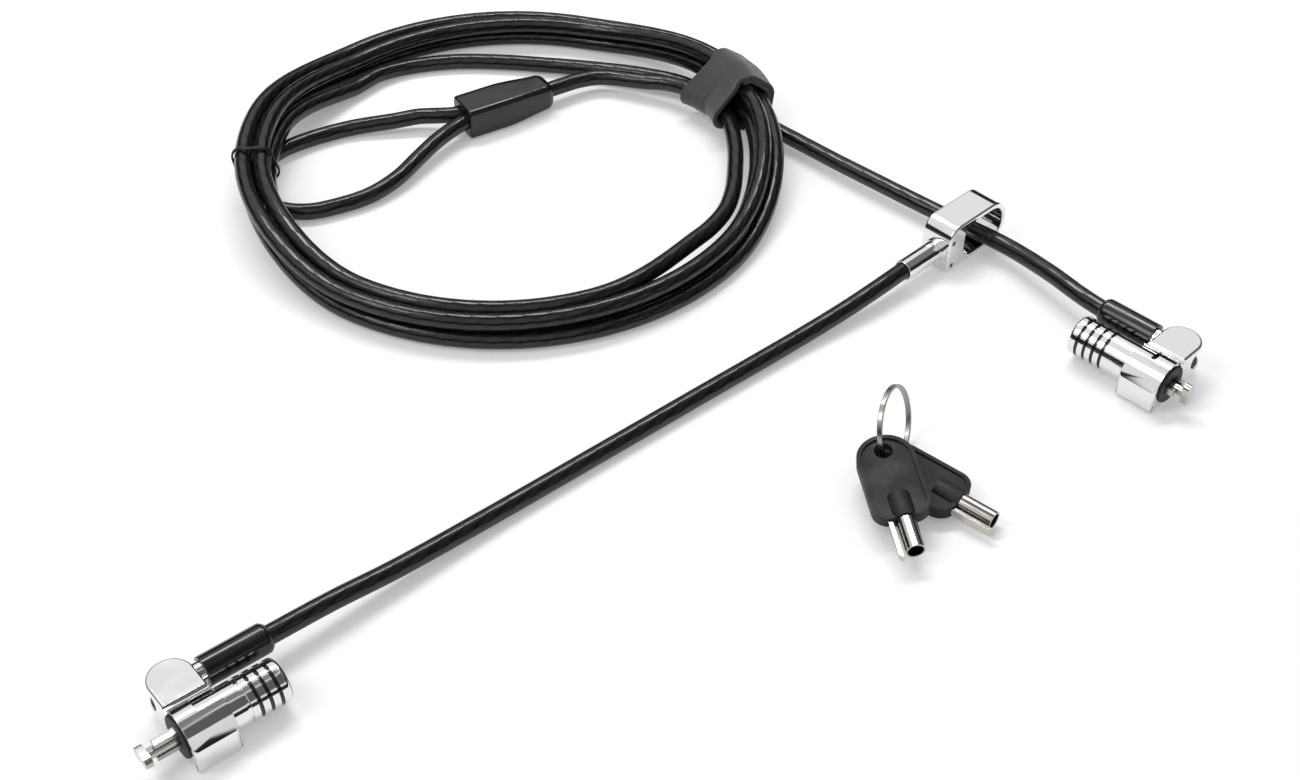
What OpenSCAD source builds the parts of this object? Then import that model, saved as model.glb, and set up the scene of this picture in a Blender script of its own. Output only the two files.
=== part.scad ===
// Laptop cable lock: a coiled steel cable with an end loop and a T-bar lock head, a slider ring that
// carries a second, shorter cable with its own lock head, and two tubular keys on a ring.
// Millimetres, +Z up, everything stands on z = 0.

/* [Cable] */
// Outside diameter of the sheathed cable
cable_d = 5.5; // [5:0.1:5.6]
// Least free gap between neighbouring strands
strand_gap = 0.5; // [0.5:0.05:0.8]
// Inner centreline radius of the coil
coil_r = 78.5; // [76:0.5:90]
// Number of turns that are wound as a coil
coil_turns = 3.5; // [2.5:1:4.5]

/* [Loop ferrule] */
// Length of the moulded ferrule cover
cover_len = 34; // [30:0.5:36]
// Width of the ferrule cover at its loop end
cover_w = 13.6; // [13.4:0.1:15]
// Height of the ferrule cover
cover_h = 11.4; // [10:0.2:12]
// Width of the ferrule cover at its cable end
cover_tip_w = 9; // [8:0.2:11]
// Length of the swaged ferrule in the cover
ferrule_len = 12; // [9:0.5:13]

/* [Strap and tie] */
// Width of the hook-and-loop strap
strap_w = 20; // [12:1:22]
// Thickness of the strap
strap_t = 1.5; // [1:0.05:1.5]
// Width of the wire tie
tie_w = 1.6; // [1:0.1:2.5]
// Thickness of the wire tie
tie_t = 0.6; // [0.4:0.05:0.7]

/* [Slider] */
// Length of the ring along the cable
ring_len = 11; // [9:0.5:13]
// Height of the ring
ring_h = 16; // [15:0.25:18]
// Wall of the ring round its opening
ring_wall = 2; // [1.6:0.1:2.4]
// Width of the ring's opening across the cable
ring_open_w = 18.5; // [17:0.25:20]
// Width of the solid foot that holds the branch cable
ring_foot_w = 8; // [7.5:0.25:10]
// Outside diameter of the crimp tube
crimp_d = 6.8; // [6.6:0.1:7.2]
// Length of the crimp tube outside the foot
crimp_len = 15.5; // [10:0.5:18]
// Depth of the crimp tube's socket in the foot
socket_depth = 6; // [4:0.5:6.5]
// Diameter of the spring pins in the foot
foot_pin_d = 1.6; // [1:0.1:1.8]

/* [Lock head] */
// Outside diameter of the push barrel
barrel_d = 12.4; // [12.2:0.1:12.6]
// Length of the push barrel
barrel_len = 24.8; // [24:0.1:26]
// Travel of the push barrel
push_travel = 3.5; // [2:0.1:3.5]
// Running clearance on the radius of parts that turn or slide in each other
running_gap = 0.1; // [0.06:0.01:0.1]
// Outside diameter of the guide sleeve that the barrel slides on
guide_d = 10.2; // [10:0.05:10.4]
// Wall of the guide sleeve
guide_wall = 0.7; // [0.5:0.05:0.8]
// Outside diameter of the round part of the collar
collar_d = 14; // [13.6:0.1:14.6]
// Length of the collar
collar_len = 12.4; // [12:0.1:13]
// Distance of the collar's flat side from the barrel axis
collar_side = 8; // [7.8:0.1:9]
// Width of each of the barrel's grip grooves
grip_w = 1; // [0.6:0.1:1.2]
// Depth of each grip groove
grip_depth = 0.45; // [0.2:0.05:0.6]
// Number of grip grooves
grip_count = 4; // [2:1:5]
// Diameter of the nose bumper
nose_d = 11.6; // [11:0.1:11.7]

/* [Knuckle] */
// Distance of the pivot pin from the barrel axis
knuckle_y = 12.9; // [12.6:0.1:13.5]
// Width of the knuckle housing
knuckle_w = 12.4; // [12:0.1:13]
// Height of the knuckle's top over the barrel axis
knuckle_top = 6; // [5.8:0.1:6.4]
// Depth of the knuckle's underside below the barrel axis
knuckle_base = 4.4; // [4:0.1:4.6]
// Height of the cable fitting's middle over the barrel axis
fitting_z = 1.4; // [1:0.1:1.6]
// Diameter of the pivot pin
pivot_d = 3; // [2.5:0.1:3.4]
// Outside diameter of the eye on the cable fitting
eye_d = 9; // [8.6:0.1:9.2]
// Diameter of the neck and shank of the cable fitting
neck_d = 5.2; // [4.6:0.1:5.2]
// Outside diameter of the crimp collar behind the neck
crimp_collar_d = 6.6; // [6:0.1:7]
// Outside diameter of the moulded sleeve
sleeve_d = 8.4; // [8:0.1:8.6]
// Length of the moulded sleeve
sleeve_len = 18.5; // [17:0.5:22]

/* [T-bar and core] */
// Length of the T-bar's crosshead
head_len = 7; // [6.6:0.1:7]
// Width of the T-bar's crosshead
head_w = 3; // [2.6:0.1:3]
// Thickness of the T-bar's crosshead
head_t = 2; // [1.6:0.1:2.2]
// Diameter of the T-bar's shaft
shaft_d = 3; // [2.8:0.1:3]
// Diameter of the lock core
core_d = 8.8; // [8.6:0.1:8.9]
// Outside diameter of the ring keyway
keyway_outer_d = 6.2; // [6:0.1:6.4]
// Inside diameter of the ring keyway
keyway_inner_d = 4.3; // [4:0.1:4.4]
// Number of tumbler pins round the keyway
tumbler_count = 7; // [4:1:8]
// Diameter of a tumbler pin
tumbler_d = 0.9; // [0.6:0.05:0.95]
// Wire diameter of the return spring
spring_wire = 0.6; // [0.4:0.05:0.6]
// Number of coils of the return spring
spring_coils = 6; // [4:1:8]

/* [Keys] */
// Length of a key's plastic bow
bow_len = 28.7; // [26:0.5:32]
// Width of a key's bow
bow_w = 16.4; // [15:0.2:16.6]
// Thickness of a key's bow at its raised edge
bow_t = 3.8; // [3.4:0.1:4]
// Depth of the sunk panel on each face of the bow
panel_depth = 0.6; // [0.2:0.05:0.8]
// Width of the bow's raised edge
edge_w = 1.2; // [0.8:0.1:1.3]
// Diameter of the hole for the key ring
ring_hole_d = 5.2; // [5.1:0.1:5.6]
// Distance of that hole from the bow's round end
ring_hole_inset = 5.2; // [5.1:0.1:5.4]
// Outside diameter of the key's tube
tube_d = 5.6; // [5.2:0.1:5.8]
// Inside diameter of the key's tube
tube_bore_d = 4.5; // [4.4:0.1:4.6]
// Length of the key's tube that shows
tube_len = 10.5; // [8:0.5:14]
// Outside diameter of the key ring
key_ring_d = 23; // [22.8:0.1:23.4]
// Width of the key ring's flat wire
key_ring_w = 1.5; // [1.2:0.1:2.2]

/* [Hidden] */

// Overshoot of a cutting shape past the face that it opens
cut = 1;
// Sides of a true round
round_fn = 64;
// Sides of a round inside a hull
hull_fn = 32;
// Sides of a cable's tube, and of the coil's
tube_sides = 10;
coil_sides = 6;

// ---- colours ----
sheath_black = [0.07, 0.07, 0.08];
moulded_black = [0.05, 0.05, 0.05];
strap_grey = [0.16, 0.16, 0.17];
bright_metal = [0.78, 0.79, 0.8];
satin_metal = [0.6, 0.6, 0.58];

// ---- places: [x, y, yaw] on the table ----
main_place = [131.8, 22.6, -45];
branch_place = [-132.7, -103.7, 219];
slider_place = [83.2, 98.7, -46.5];
branch_guide_turn = 90;
branch_push = push_travel;

// ---- lock head, along its own x axis with the nose face at x = 0 ----
axis_z = collar_d/2;
nose_t = 1;
flange_t = 0.8;
web_t = 1.1;
web_front = -nose_t - flange_t - running_gap;
web_back = web_front - web_t;
collar_front = -0.6;
collar_back = collar_front - collar_len;
barrel_bore_gap = 0.25;
collar_bore_r = barrel_d/2 + barrel_bore_gap;
barrel_front = -7.8;
barrel_back = barrel_front - barrel_len;
core_step = -21;
// The barrel's inner step stays just behind the guide when it is pushed in
step_gap = 0.3;
guide_back = core_step + push_travel + step_gap;
guide_bore_r = guide_d/2 - guide_wall;
ring_front = web_back - running_gap;
retainer_t = 0.9;
lip_t = 0.8;
lip_r = 4;
grip_start = 3.2;
grip_pitch = 2.8;
edge_round = 1.2;
knuckle_x = -6.3;
notch_x = -6;
notch_y = -1.5;
notch_top_y = 4.6;
side_top_z = 1;
side_tangent = 143;
corner_r = 1.2;
block_far_y = 5;
slot_gap = 0.2;
slot_half = neck_d/2 + slot_gap;
// The shank is a little thinner than the eye
shank_r = neck_d/2 - 0.15;
pin_top_cover = 1;
fitting_reach = 11.5;
// The crimp collar ends at the knuckle's side, and the sleeve starts on it
crimp_collar_len = 2.4;
crimp_seat = 0.4;
crimp_back = knuckle_x - knuckle_w/2 - crimp_collar_len;
sleeve_front = crimp_back + crimp_seat;
sleeve_back = sleeve_front - sleeve_len;
cable_start = knuckle_x - fitting_reach;
sleeve_fit = 0.05;
sleeve_round = 1.6;
rib_y = 4.6;
rib_w = 1;
rib_z = 5.3;
shaft_gap = 0.3;
lock_pin_in = 1.7;
lock_pin_t = 1.4;
lock_pin_w = 2.2;
lock_pin_tip = 2.5;
pin_slot_gap = 0.2;
carrier_front = -13.9;
carrier_t = 1.5;
carrier_gap = 0.15;
shoulder_d = 4.4;
shoulder_t = 1;
flat_w = 2.5;
flat_start = -6;
head_x = 4.3;
shaft_end = -26;
keyway_depth = 5;
tumbler_len = 4;
tumbler_gap = 0.05;
spring_mean_r = 3.8;
spring_end_gap = 0.3;
spring_rings = 12;
groove_w = 0.5;
groove_depth = 0.25;

// ---- slider ring, across the cable on y with the opening's cable side at y = 0 ----
ring_open_r = ring_h/2 - ring_wall;
ring_end_r = ring_h/2;
open_left = -9.4;
end_y = open_left + ring_open_w - ring_open_r;
foot_left = open_left - ring_foot_w;
foot_corner = 5;
open_corner = 4;
crimp_z = 6.4;
crimp_ring_d = crimp_d + 1;
crimp_ring_t = 1.2;
foot_pin_y = foot_left + 2.2;
foot_pin_gap = 0.05;
foot_pin_rise = crimp_d/2 + foot_pin_d/2 + foot_pin_gap;

// ---- keys ----
key_ring_t = 1;
bow_corner = 5;
hub_d = 6.8;
hub_len = 8;
blade_seat = 6;
prong_gap = 0.8;
prong_w = 2.2;
prong_t = 1.2;
prong_reach = 2.2;
key_ring_r = key_ring_d/2;
key_hole = [45.5, -8.5];
key_b_yaw = -38.5;
key_a_yaw = -80;
key_b_z = 4.7;
key_a_z = 9.6;
key_b_pitch = 2.6;
key_a_pitch = 6;
key_a_roll = 6;
key_ring_dir = 66;
key_ring_lean = 16;
hole_b_out = 8.1;
hole_a_out = 10.5;

// ---- ferrule cover: [x, y, direction towards the cable end] ----
cover_place = [-83.5, 161, 30.7];
cover_z = cover_h/2;
cover_full_len = 20;
cover_nick = 0.8;
cover_end = 1.6;
cover_tip_h = 8.6;
chamfer_half = 7.4;
leg_y = 2.95;
leg_depth = 6.5;
ferrule_r = 2.6;
fit_overlap = 0.01;

// ---- strap and tie: [x, y, direction across the bundle] ----
strap_place = [8.5, 169, 30];
tie_place = [-149, 124, 187];
band_gap = 0.4;
band_margin = 1.5;
tie_gap = 0.35;
tail_from = [4, 9];
tail_inset = 0.8;

// ---- coil: starts and ends at the left and right, inner radius, lower and upper layer ----
coil_centre = [-65.5, 134, 0];
strand_pitch = cable_d + strand_gap;
layer_z = cable_d/2;
coil_start = 140;
turn_back = coil_turns/2;
// Half width of what the bands go round: the turns, and one more strand on their inner side
band_reach = (ceil(coil_turns) + 1)*strand_pitch;
climb_half = 0.25;
coil_rings = 24;
// Each end draws in from its neighbours over the last part of a turn
end_draw = 3;
end_zone = 0.08;
// The bundle rises over the lead where that leaves under it, and over the end loop
lead_hump = [21, 9, 46, 7.9];
loop_hump = [185, 15, 38, 6.9];

// ---- cable routes: points on the centreline between the ends ----
lead_route = [
    [112.1, 61.9, 8.3], [105, 73, 7.7], [94.2, 88.3, 6.1], [81.8, 101, 5.1], [69.3, 112.1, 5.1],
    [56.1, 124.2, 5.1], [43, 136.6, 4.9], [28.5, 151.2, 4.5], [18.5, 160.7, 4.5], [8.5, 170.2, 4.5],
    [-7, 183.9, 4.5], [-22, 189.9, 4.4], [-40, 195, 3.6], [-56, 198.5, 2.9], [-73, 200.7, 2.75],
    [-90, 200.9, 2.75], [-106.5, 197.2, 2.75]];
ferrule_route = [
    [5, 103.8, 8.7], [7.7, 113.7, 9], [8.9, 125, 8.8], [9.4, 140.1, 8.9], [7.3, 156.8, 9],
    [3.4, 166.2, 8.8], [-10.5, 178.6, 7.6], [-22.5, 183.3, 6], [-36.5, 187, 5.2],
    [-44.5, 184.2, 5.6]];
loop_route = [
    [-92, 162.6, 5.5], [-99, 162.8, 5], [-106, 161.6, 4.2], [-122, 158.8, 2.9],
    [-135.5, 152, 2.9], [-143.5, 145, 3.4], [-148.6, 136.5, 3.6], [-150.3, 127, 3.6],
    [-147.3, 118.2, 3.5], [-140, 112.6, 3], [-130.5, 111.4, 2.75], [-120.8, 114.6, 2.75],
    [-111.1, 120, 3], [-102.8, 128.6, 3.7], [-96.4, 139.3, 4.6], [-90.7, 148.3, 5.4]];
branch_route = [
    [51, 68.4, 5.8], [41, 60, 4.6], [25.4, 47.6, 3.2], [-5.5, 22, 2.75], [-33.8, -1.8, 2.75],
    [-60.2, -24.4, 3.2], [-85.4, -47, 5.2], [-101, -60.6, 7.4]];

// ---- sweeping a tube along points ----
function unit(v) = v/norm(v);
function side_of(t) = unit(cross([0, 0, 1], t));
function tangent_at(p, i) = unit(p[min(i + 1, len(p) - 1)] - p[max(i - 1, 0)]);
function frame_ring(p, i, r, sides) =
    let (t = tangent_at(p, i), s = side_of(t), u = cross(t, s))
    [for (k = [0:sides - 1]) p[i] + r*(s*cos(360*k/sides) + u*sin(360*k/sides))];

module swept_tube(p, r, sides) {
    rings = len(p);
    points = [for (i = [0:rings - 1]) each frame_ring(p, i, r, sides)];
    walls = [for (i = [0:rings - 2]) for (k = [0:sides - 1])
        let (a = i*sides + k, b = i*sides + (k + 1)%sides)
        each [[a, b, a + sides], [b, b + sides, a + sides]]];
    first_cap = [for (k = [1:sides - 2]) [0, k + 1, k]];
    last = (rings - 1)*sides;
    last_cap = [for (k = [1:sides - 2]) [last, last + k, last + k + 1]];
    polyhedron(points = points, faces = concat(walls, first_cap, last_cap));
}

// ---- coil centreline: angle by turn, radius out and back at one rate, one climb, two humps ----
function smooth(x) = let (c = min(1, max(0, x))) c*c*(3 - 2*c);
function wrap(a) = let (b = (a%360 + 360)%360) b > 180 ? b - 360 : b;
function hump(a, h) = h[3]*(1 - smooth((abs(wrap(a - h[0])) - h[1])/h[2]));
function coil_radius(t) = coil_r + strand_pitch*(turn_back - abs(t - turn_back))
    - end_draw*(1 - smooth(min(t, coil_turns - t)/end_zone));
function coil_height(t) =
    layer_z + strand_pitch*smooth((t - turn_back + climb_half)/(2*climb_half))
    + hump(coil_start + 360*t, loop_hump)
    + hump(coil_start + 360*t, lead_hump);
function coil_point(t) =
    let (a = coil_start + 360*t, r = coil_radius(t))
    coil_centre + [r*cos(a), r*sin(a), coil_height(t)];
coil_steps = round(coil_turns*coil_rings);
coil_body = [for (i = [0:coil_steps]) coil_point(coil_turns*i/coil_steps)];
// Both ends run straight and level for a short way before the next piece of cable
function around(a) = [-sin(a), cos(a), 0];
function coil_lead_in(n) = coil_body[0] - n*cable_d*around(coil_start);
function coil_lead_out(n) =
    coil_body[coil_steps] + n*cable_d*around(coil_start + 360*coil_turns);
coil_path = concat([coil_lead_in(1)], coil_body, [coil_lead_out(1)]);

// ---- least gap of the coil to itself, measured on points of its centreline ----
gap_steps = 60;
function gap_point(i) = coil_point(coil_turns*i/(coil_turns*gap_steps));
gap_line = [for (i = [0:floor(coil_turns*gap_steps)]) gap_point(i)];
coil_gap = min([for (i = [0:len(gap_line) - 1]) for (j = [i + gap_steps/2:1:len(gap_line) - 1])
    norm(gap_line[i] - gap_line[j])]) - cable_d;
echo(coil_least_gap = coil_gap);

// ---- placing ----
module at_main() {
    translate([main_place[0], main_place[1], axis_z]) rotate(main_place[2]) children();
}
module at_branch() {
    translate([branch_place[0], branch_place[1], axis_z]) rotate(branch_place[2])
        mirror([0, 1, 0]) children();
}
module at_slider() {
    translate([slider_place[0], slider_place[1], 0]) rotate(slider_place[2]) children();
}
// A solid along the x axis from x0 to x1
module rod(x0, x1, r) {
    translate([x0, 0, 0]) rotate([0, 90, 0]) cylinder(h = x1 - x0, r = r, $fn = round_fn);
}
module block(low, high) {
    translate(low) cube(high - low);
}

// ==== lock head shapes ====
module side_section() {
    // Flat-sided body under and beside the barrel, seen along the barrel
    side = -collar_side;
    polygon([
        [side, -axis_z + corner_r], [side + corner_r, -axis_z], [block_far_y, -axis_z],
        [block_far_y + corner_r, -knuckle_base], [block_far_y, 0], [0, collar_d/2],
        collar_d/2*[cos(side_tangent), sin(side_tangent)], [side, side_top_z]]);
}
module collar_outer() {
    rod(collar_back, collar_front, collar_d/2);
    intersection() {
        translate([collar_back, 0, 0]) rotate([90, 0, 90])
            linear_extrude(collar_len) side_section();
        translate([0, 0, -axis_z - cut]) linear_extrude(axis_z + collar_d + cut) union() {
            translate([collar_back, -collar_side + corner_r])
                square([collar_len, collar_side + 2*block_far_y]);
            translate([collar_back + corner_r, -collar_side])
                square([collar_len - 2*corner_r, collar_side]);
            for (x = [collar_back + corner_r, collar_front - corner_r])
                translate([x, -collar_side + corner_r]) circle(corner_r, $fn = round_fn);
        }
    }
    // Knuckle housing, cast in one with the collar
    translate([0, 0, -knuckle_base]) linear_extrude(knuckle_base + knuckle_top) union() {
        translate([knuckle_x, knuckle_y]) circle(knuckle_w/2, $fn = round_fn);
        translate([knuckle_x - knuckle_w/2, rib_y + rib_w])
            square([knuckle_w, knuckle_y - rib_y - rib_w]);
    }
    block([knuckle_x - knuckle_w/2, rib_y - rib_w, 0],
          [knuckle_x + knuckle_w/2, rib_y + 2*rib_w, rib_z]);
}
module collar_shape() {
    difference() {
        collar_outer();
        rod(collar_back - cut, web_back, collar_bore_r);
        rod(web_back - cut, web_front + cut, guide_d/2 + running_gap);
        rod(web_front, collar_front + cut, nose_d/2 + running_gap);
        // Notch that shows the barrel from above
        block([collar_back - cut, notch_y, 0], [notch_x, notch_top_y - rib_w, collar_d]);
        // Slot that the cable fitting swings in, round-bottomed at both mouths
        translate([0, 0, fitting_z - slot_half]) linear_extrude(2*slot_half) union() {
            translate([knuckle_x, knuckle_y]) circle(eye_d/2 + slot_gap, $fn = round_fn);
            translate([knuckle_x - knuckle_w, knuckle_y])
                square([2*knuckle_w, knuckle_w]);
        }
        translate([0, knuckle_y, fitting_z])
            rod(knuckle_x - knuckle_w, knuckle_x + knuckle_w, slot_half);
        translate([knuckle_x, knuckle_y, -knuckle_base - cut])
            cylinder(h = cut + knuckle_base + knuckle_top - pin_top_cover,
                     d = pivot_d, $fn = round_fn);
    }
}
module pivot_pin_shape() {
    translate([knuckle_x, knuckle_y, -knuckle_base])
        cylinder(h = knuckle_base + knuckle_top - pin_top_cover, d = pivot_d, $fn = round_fn);
}
module end_fitting_shape() {
    difference() {
        translate([knuckle_x, knuckle_y, fitting_z]) union() {
            translate([0, 0, -neck_d/2]) cylinder(h = neck_d, d = eye_d, $fn = round_fn);
            rod(-fitting_reach, 0, shank_r);
        }
        translate([knuckle_x, knuckle_y, fitting_z - neck_d])
            cylinder(h = 2*neck_d, d = pivot_d + 2*running_gap, $fn = round_fn);
    }
}
module crimp_collar_shape() {
    translate([0, knuckle_y, fitting_z]) difference() {
        rod(crimp_back, crimp_back + crimp_collar_len, crimp_collar_d/2);
        rod(crimp_back - cut, crimp_back + crimp_collar_len + cut, shank_r);
    }
}
module sleeve_shape() {
    r = sleeve_d/2;
    bore = cable_d/2 + sleeve_fit;
    translate([sleeve_front, knuckle_y, fitting_z]) rotate([0, -90, 0]) difference() {
        rotate_extrude($fn = round_fn) union() {
            translate([bore, 0]) square([r - bore, sleeve_len - sleeve_round]);
            translate([bore, 0]) square([r - bore - sleeve_round/2, sleeve_len]);
            intersection() {
                translate([r - sleeve_round, sleeve_len - sleeve_round])
                    circle(sleeve_round, $fn = round_fn);
                translate([bore, 0]) square([r, sleeve_len]);
            }
        }
        // Seat of the crimp collar
        translate([0, 0, -cut])
            cylinder(h = cut + sleeve_front - crimp_back + sleeve_fit,
                     d = crimp_collar_d + 2*sleeve_fit, $fn = round_fn);
    }
}
module nose_opening(x0, x1) {
    // Clears the T-bar's shaft and the two lock pins
    rod(x0, x1, shaft_d/2 + shaft_gap);
    reach = lock_pin_in + lock_pin_t + pin_slot_gap;
    half_w = lock_pin_w/2 + pin_slot_gap;
    block([x0, -reach, -half_w], [x1, reach, half_w]);
}
module guide_sleeve_shape() {
    difference() {
        union() {
            rod(guide_back, -nose_t, guide_d/2);
            rod(-nose_t - flange_t, -nose_t, nose_d/2);
        }
        rod(guide_back - cut, -nose_t - flange_t, guide_bore_r);
        nose_opening(-nose_t - flange_t - cut, cut);
    }
}
module nose_bumper_shape() {
    difference() {
        rod(-nose_t, 0, nose_d/2);
        nose_opening(-nose_t - cut, cut);
    }
}
module retaining_ring_shape() {
    difference() {
        rod(ring_front - retainer_t, ring_front, barrel_d/2);
        rod(ring_front - retainer_t - cut, ring_front + cut, guide_d/2);
    }
}
module return_spring_shape(push) {
    x0 = carrier_front + push + spring_end_gap + spring_wire/2;
    x1 = -nose_t - flange_t - spring_end_gap - spring_wire/2;
    steps = spring_rings*spring_coils;
    helix = [for (i = [0:steps]) let (a = 360*spring_coils*i/steps)
        [spring_mean_r*cos(a), spring_mean_r*sin(a), (x1 - x0)*i/steps]];
    translate([x0, 0, 0]) rotate([0, 90, 0]) swept_helix(helix, spring_wire/2, coil_sides);
}
// A helix climbs along z, so its rings stand on the radius
module swept_helix(p, r, sides) {
    rings = len(p);
    points = [for (i = [0:rings - 1])
        let (t = tangent_at(p, i), s = unit([p[i][0], p[i][1], 0]), u = cross(t, s))
        for (k = [0:sides - 1]) p[i] + r*(s*cos(360*k/sides) + u*sin(360*k/sides))];
    walls = [for (i = [0:rings - 2]) for (k = [0:sides - 1])
        let (a = i*sides + k, b = i*sides + (k + 1)%sides)
        each [[a, b, a + sides], [b, b + sides, a + sides]]];
    last = (rings - 1)*sides;
    caps = [for (k = [1:sides - 2]) each [[0, k + 1, k], [last, last + k, last + k + 1]]];
    polyhedron(points = points, faces = concat(walls, caps));
}
module barrel_shape() {
    r = barrel_d/2;
    difference() {
        translate([barrel_back, 0, 0]) rotate([0, 90, 0]) rotate_extrude($fn = round_fn) union() {
            translate([0, edge_round]) square([r, barrel_len - edge_round]);
            square([r - edge_round, barrel_len]);
            translate([r - edge_round, edge_round]) circle(edge_round, $fn = round_fn);
        }
        rod(core_step, barrel_front + cut, guide_d/2 + running_gap);
        rod(barrel_back + lip_t, core_step + cut, core_d/2 + running_gap);
        rod(barrel_back - cut, barrel_back + lip_t + cut, lip_r);
        for (k = [0:grip_count - 1]) {
            x = barrel_back + grip_start + grip_pitch*k;
            difference() {
                rod(x - grip_w/2, x + grip_w/2, r + cut);
                rod(x - grip_w, x + grip_w, r - grip_depth);
            }
        }
        // Guide groove along the top
        block([barrel_back + grip_start, -groove_w - 1, r - groove_depth],
              [barrel_front + cut, -1, r + cut]);
    }
}
module lock_pins_shape() {
    difference() {
        rod(carrier_front - carrier_t, carrier_front, guide_bore_r - carrier_gap);
        rod(carrier_front - carrier_t - cut, carrier_front + cut, shaft_d/2 + running_gap);
    }
    for (m = [0, 1]) mirror([0, m, 0])
        block([carrier_front, lock_pin_in, -lock_pin_w/2],
              [lock_pin_tip, lock_pin_in + lock_pin_t, lock_pin_w/2]);
}
module lock_core_shape() {
    back = barrel_back + lip_t + running_gap;
    face = back + keyway_depth;
    difference() {
        rod(back, core_step - running_gap, core_d/2);
        difference() {
            rod(back - cut, face, keyway_outer_d/2);
            rod(back - 2*cut, face + cut, keyway_inner_d/2);
        }
        // Side notch that the key's prong enters
        block([back - cut, -prong_w/2, keyway_outer_d/4], [face, prong_w/2, lip_r]);
        for (k = [0:tumbler_count - 1]) rotate([360*(k + 0.5)/tumbler_count, 0, 0])
            translate([0, 0, (keyway_outer_d + keyway_inner_d)/4])
                rod(face - cut, face + tumbler_len, tumbler_d/2 + tumbler_gap);
        rod(shaft_end, core_step + cut, shaft_d/2);
    }
}
module tumblers_shape() {
    face = barrel_back + lip_t + running_gap + keyway_depth;
    for (k = [0:tumbler_count - 1]) rotate([360*(k + 0.5)/tumbler_count, 0, 0])
        translate([0, 0, (keyway_outer_d + keyway_inner_d)/4])
            rod(face, face + tumbler_len, tumbler_d/2);
}
module t_bar_shape() {
    rod(shaft_end, flat_start, shaft_d/2);
    intersection() {
        rod(flat_start, head_x, shaft_d/2);
        block([flat_start, -flat_w/2, -shaft_d], [head_x, flat_w/2, shaft_d]);
    }
    shoulder = carrier_front - carrier_t - carrier_gap;
    rod(shoulder - shoulder_t, shoulder, shoulder_d/2);
    // Crosshead with round ends
    half = head_len/2 - head_w/2;
    block([head_x, -head_w/2, -half], [head_x + head_t, head_w/2, half]);
    for (z = [-half, half]) translate([0, 0, z]) rod(head_x, head_x + head_t, head_w/2);
}

// ==== lock head at the end of the main cable: barrel out ====
module main_collar() { color(bright_metal) at_main() collar_shape(); }
module main_pivot_pin() { color(satin_metal) at_main() pivot_pin_shape(); }
module main_end_fitting() { color(satin_metal) at_main() end_fitting_shape(); }
module main_crimp_collar() { color(bright_metal) at_main() crimp_collar_shape(); }
module main_sleeve() { color(moulded_black) at_main() sleeve_shape(); }
module main_guide_sleeve() { color(satin_metal) at_main() guide_sleeve_shape(); }
module main_nose_bumper() { color(moulded_black) at_main() nose_bumper_shape(); }
module main_retaining_ring() { color(satin_metal) at_main() retaining_ring_shape(); }
module main_return_spring() { color(satin_metal) at_main() return_spring_shape(0); }
module main_barrel() { color(bright_metal) at_main() barrel_shape(); }
module main_lock_pins() { color(satin_metal) at_main() lock_pins_shape(); }
module main_lock_core() { color(satin_metal) at_main() lock_core_shape(); }
module main_tumblers() { color(satin_metal) at_main() tumblers_shape(); }
module main_t_bar() { color(satin_metal) at_main() t_bar_shape(); }

// ==== lock head at the end of the branch cable: barrel pushed in, guide turned ====
module branch_guide(push = 0) {
    at_branch() rotate([branch_guide_turn, 0, 0]) translate([push, 0, 0]) children();
}
module branch_collar() { color(bright_metal) at_branch() collar_shape(); }
module branch_pivot_pin() { color(satin_metal) at_branch() pivot_pin_shape(); }
module branch_end_fitting() { color(satin_metal) at_branch() end_fitting_shape(); }
module branch_crimp_collar() { color(bright_metal) at_branch() crimp_collar_shape(); }
module branch_sleeve() { color(moulded_black) at_branch() sleeve_shape(); }
module branch_guide_sleeve() { color(satin_metal) branch_guide() guide_sleeve_shape(); }
module branch_nose_bumper() { color(moulded_black) branch_guide() nose_bumper_shape(); }
module branch_retaining_ring() { color(satin_metal) branch_guide() retaining_ring_shape(); }
module branch_return_spring() { color(satin_metal) branch_guide() return_spring_shape(branch_push); }
module branch_barrel() { color(bright_metal) branch_guide(branch_push) barrel_shape(); }
module branch_lock_pins() { color(satin_metal) branch_guide(branch_push) lock_pins_shape(); }
module branch_lock_core() { color(satin_metal) branch_guide(branch_push) lock_core_shape(); }
module branch_tumblers() { color(satin_metal) branch_guide(branch_push) tumblers_shape(); }
module branch_t_bar() { color(satin_metal) branch_guide(branch_push) t_bar_shape(); }

// ==== slider ====
module ring_outline() {
    translate([end_y, ring_h/2]) circle(ring_end_r, $fn = round_fn);
    translate([foot_left + foot_corner, 0]) square([end_y - foot_left - foot_corner, ring_h]);
    translate([foot_left, 0]) square([foot_corner, ring_h - foot_corner]);
    translate([foot_left + foot_corner, ring_h - foot_corner])
        circle(foot_corner, $fn = round_fn);
}
module ring_opening() {
    translate([end_y, ring_h/2]) circle(ring_open_r, $fn = round_fn);
    translate([open_left + open_corner, ring_wall])
        square([end_y - open_left - open_corner, ring_h - 2*ring_wall]);
    translate([open_left, ring_wall + open_corner])
        square([2*open_corner, ring_h - 2*ring_wall - 2*open_corner]);
    for (z = [ring_wall + open_corner, ring_h - ring_wall - open_corner])
        translate([open_left + open_corner, z]) circle(open_corner, $fn = round_fn);
}
module across_cable(length) {
    translate([-length/2, 0, 0]) rotate([90, 0, 90]) linear_extrude(length) children();
}
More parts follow.
